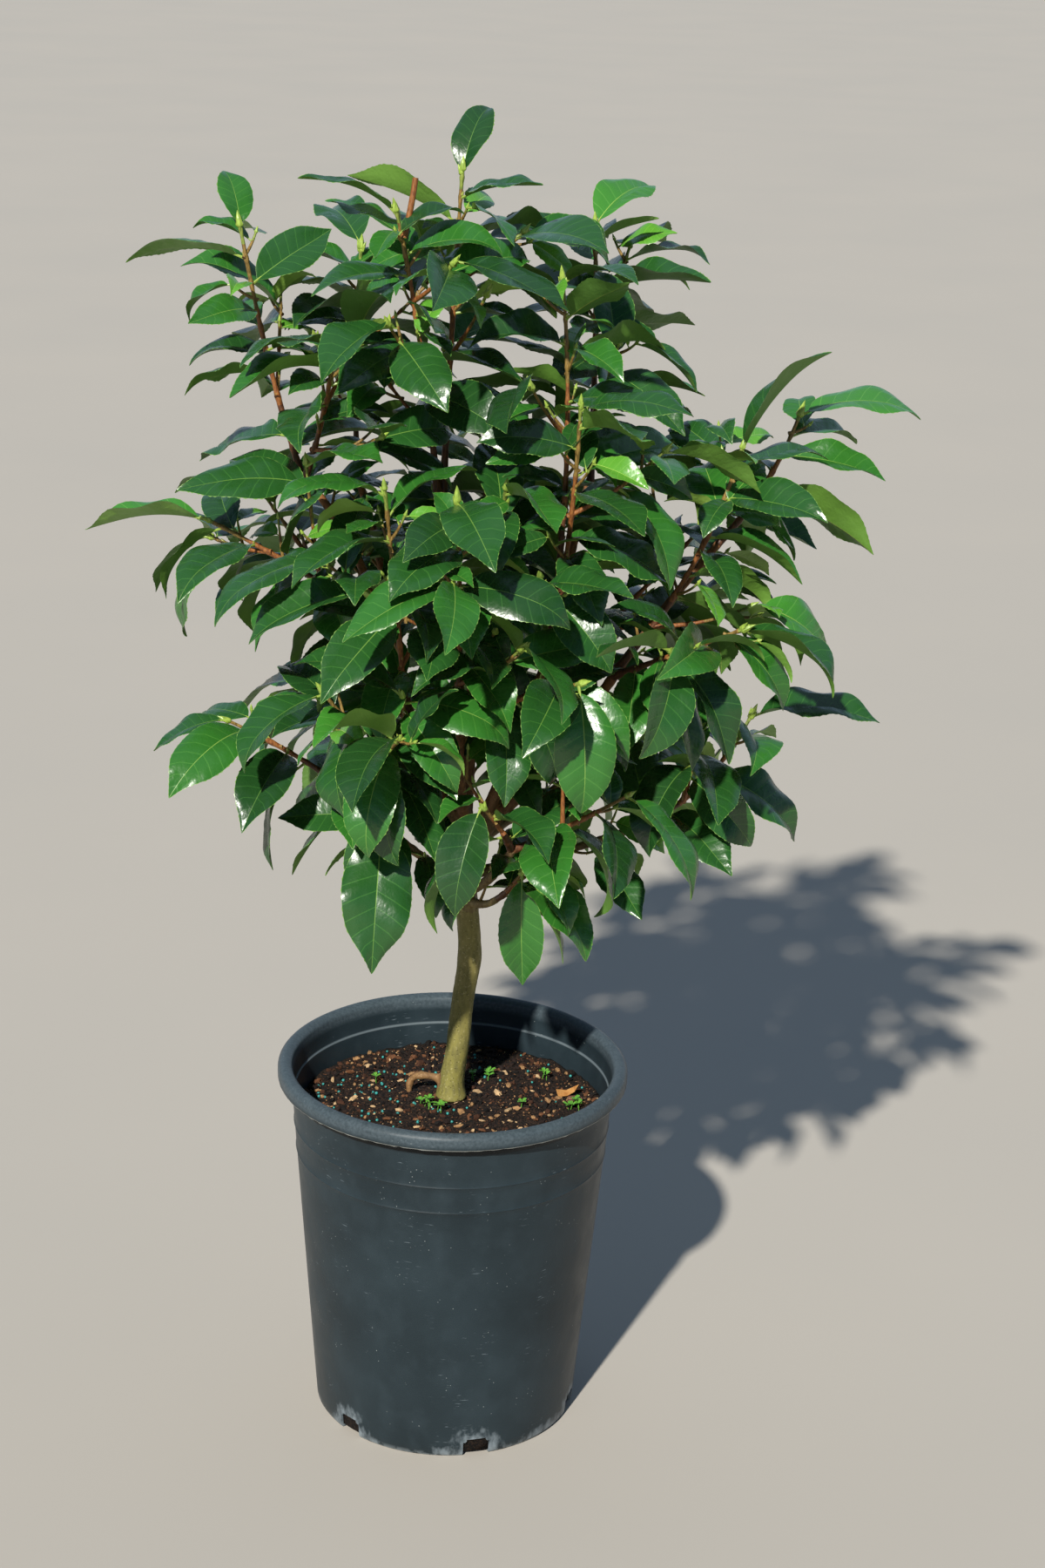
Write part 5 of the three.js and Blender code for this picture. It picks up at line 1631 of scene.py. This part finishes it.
def blade_corners(grid, leaf, key, order):
    """The corners of the upper side, of the underside and of the tip."""
    length, width = leaf["length"], leaf["width"]
    s = grid.share[:, None]
    across = np.array([-1, -1, -0.5, 0, 0, 0.5, 1, 1])[None]
    hand = np.array([-1, -1, -1, -1, 1, 1, 1, 1])[None]
    sure = s + VEIN_SLANT * np.abs(across) * s * (1 - s)
    widest = width / 2 * outline_share(sure) + 0.9 * (1 - s) ** 8
    half = widest * np.abs(across)
    teeth = TOOTH * grid.teeth[:, None] * np.clip(widest / 6.0, 0.0, 1.0)
    half[:, [0, 7]] += teeth[:, [0, 7]]
    half[:, [1, 6]] -= np.minimum(MARGIN_WIDTH, widest[:, [1, 6]] * 0.3)
    rib = np.minimum((RIB_HALF - RIB_TAPER * s[:, 0]) * length / LEAF_LENGTH, widest[:, 3] * 0.35)
    half[:, 3] = half[:, 4] = rib
    reach = half / np.maximum(widest, 1e-6)
    fold = math.radians(dealt(FOLD, key, order, 34))
    lifted = widest * math.sin(fold) * (1.25 * reach - 0.25 * reach**2)
    lifted -= widest * dealt(CURL, key, order, 28) * reach**3 * np.sin(math.pi * np.clip(sure, 0, 1))
    wave = dealt(WAVE, key, order, 21) * width / USUAL_WIDTH
    beat = dealt(BEATS, key, order, 22)
    phase = chance(key, order, 23) + 0.5 * (hand > 0) * chance(key, order, 24)
    belly = np.sin(math.pi * np.clip(sure, 0, 1)) ** 0.5
    lifted += wave * reach**2 * np.sin(math.tau * (beat * sure + phase)) * belly
    between = (grid.share - FIRST_VEIN) / (LAST_VEIN - FIRST_VEIN) * (VEIN_PAIRS - 1)
    quilt = np.where((between > 0) & (between < VEIN_PAIRS - 1), np.sin(math.pi * between) ** 2, 0.3)
    lifted += QUILT * quilt[:, None] * 4 * reach * np.clip(1 - reach, 0, 1) * width / USUAL_WIDTH
    lifted += wrinkles(key, order, grid.rows)[:, None] * 4 * reach * np.clip(1.1 - reach, 0, 1)
    across_mm = half * hand * math.cos(fold)
    share = PETIOLE_SHARE + (1 - PETIOLE_SHARE) * sure
    keel = np.zeros((grid.rows, 4)) + THICKNESS
    keel[:, 1:3] += KEEL * (1 - s) * length / LEAF_LENGTH
    picks = [2, 3, 4, 5]
    share = np.concatenate([share.ravel(), share[:, picks].ravel(), [1.0]])
    sideways = np.concatenate([across_mm.ravel(), across_mm[:, picks].ravel(), [0.0]])
    raised = np.concatenate([lifted.ravel(), (lifted[:, picks] - keel).ravel(), [0.0]])
    return placed_on_leaf(leaf, key, order, share, sideways, raised)


print("a leaf is", THICKNESS, "mm thick, and its teeth stand out", TOOTH, "mm")

# %% [markdown]
# Last, the whole leaf is twisted, swayed to one side and hooked at its tip. Its stalk goes
# through the same function, so it stays on the blade's foot however the leaf is bent.

# %% Twist and stalk of a leaf
TWIST, SWAY, HOOK = (-16, 16), (-0.05, 0.05), (-0.05, 0.11)
STALK_SIDES, STALK_RINGS = 6, 5


def placed_on_leaf(leaf, key, order, share, sideways, raised):
    """The places once the leaf is twisted and curved a little to one side."""
    twist = math.radians(dealt(TWIST, key, order, 25)) * share**1.5
    sway = dealt(SWAY, key, order, 26) * leaf["length"] * share**2
    turned = sideways * np.cos(twist) - raised * np.sin(twist) + sway
    risen = sideways * np.sin(twist) + raised * np.cos(twist)
    hook = dealt(HOOK, key, order, 29) * leaf["length"]
    risen -= hook * np.clip((share - 0.66) / 0.34, 0.0, 1.0) ** 2
    return on_leaf(leaf, share, turned, risen)


def leaf_stalk(leaf, key, order):
    """The short stalk: a tube from inside the twig to under the blade's foot."""
    ring = np.linspace(0.0, 0.12, STALK_RINGS)
    radius = np.linspace(1.45, 0.75, STALK_RINGS) * min(1.0, leaf["length"] / 85)
    turn = np.arange(STALK_SIDES) * math.tau / STALK_SIDES
    share = np.repeat(ring, STALK_SIDES)
    sideways = (radius[:, None] * np.cos(turn)).ravel()
    raised = (radius[:, None] * np.sin(turn) - 0.35).ravel()
    faces = [face[::-1] for face in ring_faces(STALK_RINGS, STALK_SIDES)]
    last = (STALK_RINGS - 1) * STALK_SIDES
    faces += [list(range(STALK_SIDES)), list(range(last, last + STALK_SIDES))[::-1]]
    return placed_on_leaf(leaf, key, order, share, sideways, raised), faces


sample = blade_corners(large_grid, leaves[0], 1, 1)
print("corners of a leaf:", len(sample))

# %% [markdown]
# No two leaves are the same green. Old ones deep in the crown are the darkest, those in the
# light are plain green, and the last ones on a shoot are fresh. Five shades are dealt out
# leaf by leaf, each with its own blade, veins, midrib and underside. The gloss is the shader's
# own, broken by a very fine bump, because the highlights of a real leaf are streaked and never
# mirror-smooth.

# %% Leaf finishes
LEAF_SHADES = {
    "deep": ("1c421b", "2b5624", "4f742d", "567c34"),
    "dark": ("224f1f", "336427", "587f2e", "638939"),
    "plain": ("2c6522", "3e762c", "668f37", "759943"),
    "fresh": ("3a7b28", "4f8b37", "749c40", "87aa4c"),
    "young": ("55922e", "69a03c", "8cb24d", "a0bf5c"),
}


def blade_finish(name, code, gloss, relief):
    """A waxy surface: its colour is plain, and its gloss is broken by the net of fine veins."""
    waxy = Finish(name, shade(code), gloss, Specular_IOR_Level=0.62)
    net = waxy.spread(waxy.cells(260, "DISTANCE_TO_EDGE"), 0.0, 0.35)
    swell = waxy.noise(190, 2, (1.0, 1.0, 0.7))
    waxy.rough(waxy.noise(90, 3), gloss - 0.04, gloss + 0.06)
    return waxy.bump(waxy.both(waxy.both(net, 0.35), waxy.both(swell, 2.4), "ADD"), relief, 0.6)


leaf_finishes = []
for shade_name, (above, vein, below, rib) in LEAF_SHADES.items():
    leaf_finishes.append(blade_finish(f"leaf_{shade_name}_above", above, 0.27, 0.22))
    leaf_finishes.append(blade_finish(f"leaf_{shade_name}_vein", vein, 0.30, 0.22))
    leaf_finishes.append(blade_finish(f"leaf_{shade_name}_below", below, 0.50, 0.28))
    leaf_finishes.append(blade_finish(f"leaf_{shade_name}_rib", rib, 0.38, 0.10))
leaf_finishes.append(blade_finish("leaf_margin", "6f9445", 0.35, 0.10))
leaf_finishes.append(blade_finish("leaf_midrib_below", "93a04e", 0.50, 0.15))
leaf_finishes.append(blade_finish("leaf_stalk", "8da446", 0.38, 0.10))
SHADES = len(LEAF_SHADES)
print("leaf finishes:", len(leaf_finishes))

# %% Shade of a leaf
SHADE_SHARES = (0.26, 0.60, 0.93, 1.01)
YOUNG_LENGTH, YOUNG_CHANCE = 58.0, 0.4
BY_CHANCE, BY_REACH, BY_SHARE, CROWN_REACH = 0.74, 0.14, 0.14, 260


def leaf_shade(leaf):
    """The older and the deeper in the crown, the darker; the last leaves of a shoot are fresh."""
    draw = chance(leaf["key"], leaf["order"], 27)
    outward = math.hypot(leaf["middle"][0], leaf["middle"][1]) / CROWN_REACH
    if leaf["length"] < YOUNG_LENGTH and draw < YOUNG_CHANCE:
        return len(LEAF_SHADES) - 1
    draw = np.clip(draw * BY_CHANCE + BY_REACH * outward + BY_SHARE * leaf["share"] ** 2, 0.0, 1.0)
    return next(k for k, share in enumerate(SHADE_SHARES) if draw <= share)


print("leaves of each shade:", np.bincount([leaf_shade(leaf) for leaf in leaves]).tolist())

# %% [markdown]
# One object with all leaves would be heavy to handle, and one object per leaf is slow. The
# leaves are joined by the side of the crown that they are on, and each of these pieces stands
# for the masses on its side. Those that grow on the boughs, inside, are a piece of their own.

# %% Leaf pieces
SECTIONS = {
    "left": [
        "front_left", "front_left_low", "left_low", "left_low_front",
        "left_middle", "left_top", "left_inner",
    ],
    "front": ["centre", "front", "front_low", "front_foot", "foot", "front_low_right", "right_centre"],
    "right": ["right_upper", "right_middle", "right_outer", "right_low", "top_right", "back_low_right"],
    "top": ["top_left", "top", "back_left_top", "back_right_top"],
    "back": ["back_left", "back_right", "back", "back_low", "back_low_left"],
}


def finish_of(kind, tone):
    return tone * 4 + kind if kind <= RIB else SHADES * 4 + kind - MARGIN


def put_leaf(heap, leaf, tone):
    key, order = leaf["key"], leaf["order"]
    grid = grid_of(leaf)
    kinds = [finish_of(kind, tone) for kind in grid.kinds]
    heap.put(blade_corners(grid, leaf, key, order), grid.faces, kinds)
    corners, faces = leaf_stalk(leaf, key, order)
    heap.put(corners, faces, finish_of(STALK, tone))


for section, names in {**SECTIONS, INNER: [INNER]}.items():
    heap = Heap()
    for leaf in leaves:
        if leaf["mass"]["name"] in names:
            put_leaf(heap, leaf, leaf_shade(leaf))
    nodes = [f"mass_{name}" for name in names if section in SECTIONS]
    heap.piece(f"leaves_{section}", leaf_finishes, "foliage", nodes, crease=55.0)

# %% [markdown]
# ## Twigs
# A stem is brown and woody where it leaves its bough, cinnamon further up, and green at its
# growing end. A ramp over the height can't colour that, because shoots point every way, so
# there are four finishes, which follow one another as the years' growths do.

# %% Twig finishes
TWIG_TONES = [("6a4228", "3f2517"), ("96602f", "6a3c20"), ("92763c", "5f4a24"), ("8c9a45", "5d6d2c")]


def twig_finish(number, light, dark):
    skin = Finish(f"twig_finish_{number}", shade(light), 0.48, Specular_IOR_Level=0.45)
    grain = skin.noise(700, 5, (1.0, 1.0, 0.3))
    skin.colour(skin.blend(skin.spread(grain, 0.36, 0.62), shade(dark), shade(light)))
    return skin.rough(grain, 0.40, 0.62).bump(grain, 0.25, 0.6)


twig_finishes = [twig_finish(k, *tones) for k, tones in enumerate(TWIG_TONES)]
print("twig finishes:", len(twig_finishes))

# %% [markdown]
# Each shoot is one tube, wider at its foot and slightly thicker at each leaf, where the bud
# sits. Along it the faces take the four finishes in turn, each up to its own share.

# %% Tube of a shoot
TWIG_SIDES = 8
TUBE_STEP, KNOT_SWELL, KNOT_RUN, FOOT_RUN, ROOTED = 3.2, 0.62, 2.6, 9.0, 3.5
# How far up a shoot each tone but the last one reaches.
STEM_ENDS, TWIG_ENDS, SPUR_ENDS = (0.34, 0.70, 0.90), (-1.0, 0.45, 0.80), (-1.0, -1.0, 0.55)


def put_shoot(heap, line, knots, ends, foot_radius, bud=9.0):
    """A tube along a shoot, thicker at its knots, each stretch up to its end in its own finish."""
    run = line.length
    count = max(6, int(run / TUBE_STEP))
    shares = np.linspace(0.0, 1.0 - 0.6 * bud / run, count)
    radii = line.radius_at(shares) * (1.0 + 0.10 * np.sin(shares * run * 0.11))
    for knot in knots:
        radii = radii + KNOT_SWELL * np.exp(-(((shares - knot) * run / KNOT_RUN) ** 2))
    radii = radii + foot_radius * np.exp(-shares * run / FOOT_RUN)
    corners, faces = tube(line, shares, radii, TWIG_SIDES)
    corners[:TWIG_SIDES] -= line.heading(0.0) * ROOTED
    face_shares = shares[np.arange(len(faces) - 2) // TWIG_SIDES]
    stretch = np.searchsorted(ends, face_shares, side="left").tolist()
    heap.put(corners, faces, stretch + [0, stretch[-1]])


print("a ring of a shoot every", TUBE_STEP, "mm")

# %% Twig pieces
# The cut end of an old shoot that stands among the top leaves.
CUT_STUB, CUT_STUB_RADII = [(-54, -26, 1022), (-49, -23, 1042), (-46, -21, 1067)], (2.5, 2.3)

twigs = Heap()
for mass in masses:
    bough = boughs[MASSES[mass["number"]][1]]
    for shoot in mass["shoots"]:
        key = mass["number"] * MOST_SHOOTS + shoot["number"]
        knots = [leaf["share"] for leaf in leaves if leaf["mass"] is mass and leaf["key"] == key]
        if shoot["number"] == 0:
            wide = max(0.0, float(bough.radius_at(1.0)) - STEM_RADII[0])
            put_shoot(twigs, shoot["line"], knots, STEM_ENDS, wide)
        else:
            put_shoot(twigs, shoot["line"], knots, TWIG_ENDS, 0.5)
for spur in spurs:
    put_shoot(twigs, spur["line"], [], SPUR_ENDS, 0.35, 6.0)
cut_stub = shoot_line(*CUT_STUB, CUT_STUB_RADII)
stub_shares = np.linspace(0, 1, 14)
twigs.put(*tube(cut_stub, stub_shares, cut_stub.radius_at(stub_shares), TWIG_SIDES), 1)
twigs.piece("twigs", twig_finishes, "bough_bark", [f"mass_{row[0]}" for row in MASSES], crease=70.0)

# %% [markdown]
# ## Buds
# Every shoot ends in a pointed green bud wrapped in scales, often with a smaller one beside
# it, and a tiny bud sits above most leaf stalks. A bud is a ball drawn out to a point, with
# shallow steps along it for the edges of the scales.

# %% Shape of a bud
BUD_SIDES, BUD_RINGS, BUD_SCALES = 8, 10, 3.2


def bud_shape(root, heading, length, radius, turn):
    """A pointed bud along a heading, its scales stepping round it."""
    side = unit(np.cross(heading, (0.37, 0.81, 0.45)))
    other = np.cross(heading, side)
    along = np.linspace(0.0, 1.0, BUD_RINGS)
    swell = np.sin(math.pi * np.clip(along, 0, 1) ** 0.62) ** 0.9 * (1 - 0.25 * along)
    swell += 0.35 * (1 - along) ** 3
    step = 1 + 0.10 * ((along * BUD_SCALES) % 1.0)
    around = np.arange(BUD_SIDES) * math.tau / BUD_SIDES + turn
    lobes = 1 + 0.07 * np.cos(2 * around[None] + 2.1 * np.floor(along * BUD_SCALES)[:, None])
    reach = (radius * swell * step)[:-1, None] * lobes[:-1]
    loop = np.cos(around)[:, None] * side + np.sin(around)[:, None] * other
    rings = root + heading * (along[:-1, None, None] * length) + loop[None] * reach[..., None]
    corners = np.concatenate([rings.reshape(-1, 3), [root + heading * length]])
    faces = ring_faces(BUD_RINGS - 1, BUD_SIDES)
    last = (BUD_RINGS - 2) * BUD_SIDES
    faces += [[last + i, last + (i + 1) % BUD_SIDES, len(corners) - 1] for i in range(BUD_SIDES)]
    faces.append(list(range(BUD_SIDES))[::-1])
    return corners, faces


print("faces of a bud:", len(bud_shape(np.zeros(3), UP, 1.0, 0.2, 0.0)[1]))

# %% [markdown]
# The large buds are green and the tiny ones browner, so they have a finish each. All are one
# piece, which stands for the masses together with the leaves and the twigs.

# %% Bud piece
BUD_CHANCE = 0.62


def bud_finish(name, light, dark):
    scales = Finish(name, shade(light), 0.42, Coat_Weight=0.2, Coat_Roughness=0.2)
    grain = scales.noise(500, 3, (1.0, 1.0, 0.4))
    scales.colour(scales.blend(scales.spread(grain, 0.35, 0.65), shade(dark), shade(light)))
    return scales.bump(grain, 0.2, 0.4)


bud_heap = Heap()
for mass in masses:
    for shoot in mass["shoots"]:
        line, key = shoot["line"], mass["number"] * MOST_SHOOTS + shoot["number"]
        heading, size = line.heading(1.0), dealt((0.95, 1.3), key, 0, 31)
        bud_heap.put(*bud_shape(line.at(1.0) - heading * 9.5, heading, 11.5 * size, 2.3 * size, key), 0)
        for k in range(int(chance(key, 1, 31) * 3.0)):
            lean = spreading(line, 0.95, math.radians(24 + 8 * k), math.radians(key * 50 + 150 * k))
            bud_heap.put(*bud_shape(line.at(0.97) - heading * 5.0, lean, 8.5 * size, 1.7 * size, key + k), 0)
for spur in spurs:
    heading = spur["line"].heading(1.0)
    bud_heap.put(*bud_shape(spur["line"].at(1.0) - heading * 4.5, heading, 6.5, 1.35, spur["order"]), 0)
for leaf in leaves:
    on_shoot = leaf["key"] < SPUR_KEY and leaf["share"] < 0.94
    if on_shoot and chance(leaf["key"], leaf["order"], 32) < BUD_CHANCE:
        upward = unit(unit(leaf["out"]) * 0.55 + UP * 0.8)
        size = dealt((3.6, 6.2), leaf["key"], leaf["order"], 33)
        root = leaf["root"] + leaf["out"] * 1.2 + UP * 1.0
        bud_heap.put(*bud_shape(root, upward, size, size * 0.24, leaf["order"]), 1)
buds = [bud_finish("bud_finish", "a4bd52", "7f9a3c"), bud_finish("small_bud_finish", "96a94c", "8a7a3c")]
bud_heap.piece("buds", buds, "foliage", [f"mass_{row[0]}" for row in MASSES], crease=40.0)

# %% [markdown]
# ## The dry leaf scraps
# Two torn pieces of a fallen leaf lie on the mix, one tan and one brown. Each is a rim of
# uneven corners round a raised middle, thin and closed below, so it looks crisp and curled.


# %% Fallen leaf
def dry_finish(name, dark, light):
    crisp = Finish(name, shade(light), 0.62)
    blotches = crisp.noise(240, 6, (1.0, 0.4, 1.0))
    crisp.colour(crisp.blend(crisp.spread(blotches, 0.35, 0.65), shade(dark), shade(light)))
    return crisp.bump(blotches, 0.4, 0.6)


dry = dry_finish("dry_leaf_finish", "b4783a", "d8a05c")
old = dry_finish("old_leaf_finish", "4e2f28", "7d5548")
# Each scrap: its place on the mix, its size, its turn and which of the two finishes it has.
SCRAPS = [((98.0, 20.0), 11.0, 0.5, 0), ((106.0, 8.0), 8.5, 2.1, 1)]
SCRAP_EDGE = [1.25, 0.72, 1.05, 0.66, 0.95, 0.6, 0.8]


def scrap(place, size, turn, order):
    """A stiff torn piece of leaf: a rim of uneven corners round a raised middle, closed below."""
    count = len(SCRAP_EDGE)
    corners = []
    for ring in (0.0, 0.5, 1.0):
        for k, edge in enumerate(SCRAP_EDGE if ring else [1.0]):
            around = turn + math.tau * k / count
            x = ring * edge * size * math.cos(around)
            y = ring * edge * size * 0.82 * math.sin(around)
            lift = 1.4 + 0.030 * x * x - 0.022 * y * y + 0.14 * x + 0.9 * chance(order, k, 35) * ring
            corners.append((place[0] + x, place[1] + y, soil_height(*place) + max(lift, 0.4) + 0.8))
    under = [(x, y, z - 0.7) for x, y, z in corners]
    faces = [[0, 1 + k, 1 + (k + 1) % count] for k in range(count)]
    faces += ring_faces(2, count, 1)
    faces = [face[::-1] if len(face) == 4 else face for face in faces]
    below = [[i + len(corners) for i in face[::-1]] for face in faces]
    rim = [1 + count + k for k in range(count)]
    edges = [[a, a + len(corners), b + len(corners), b] for a, b in zip(rim, rim[1:] + rim[:1])]
    return np.array(corners + under), faces + below + edges


fallen_heap = Heap()
for place, size, turn, order in SCRAPS:
    fallen_heap.put(*scrap(place, size, turn, order), order)
fallen_heap.piece("fallen_leaf", [dry, old], "foliage", crease=30.0)

# %% [markdown] ## The pieces made
# The dressed shrub may stand only a little proud of the solids.

# %% The pieces made
print("pieces:", [piece.name for piece in made])
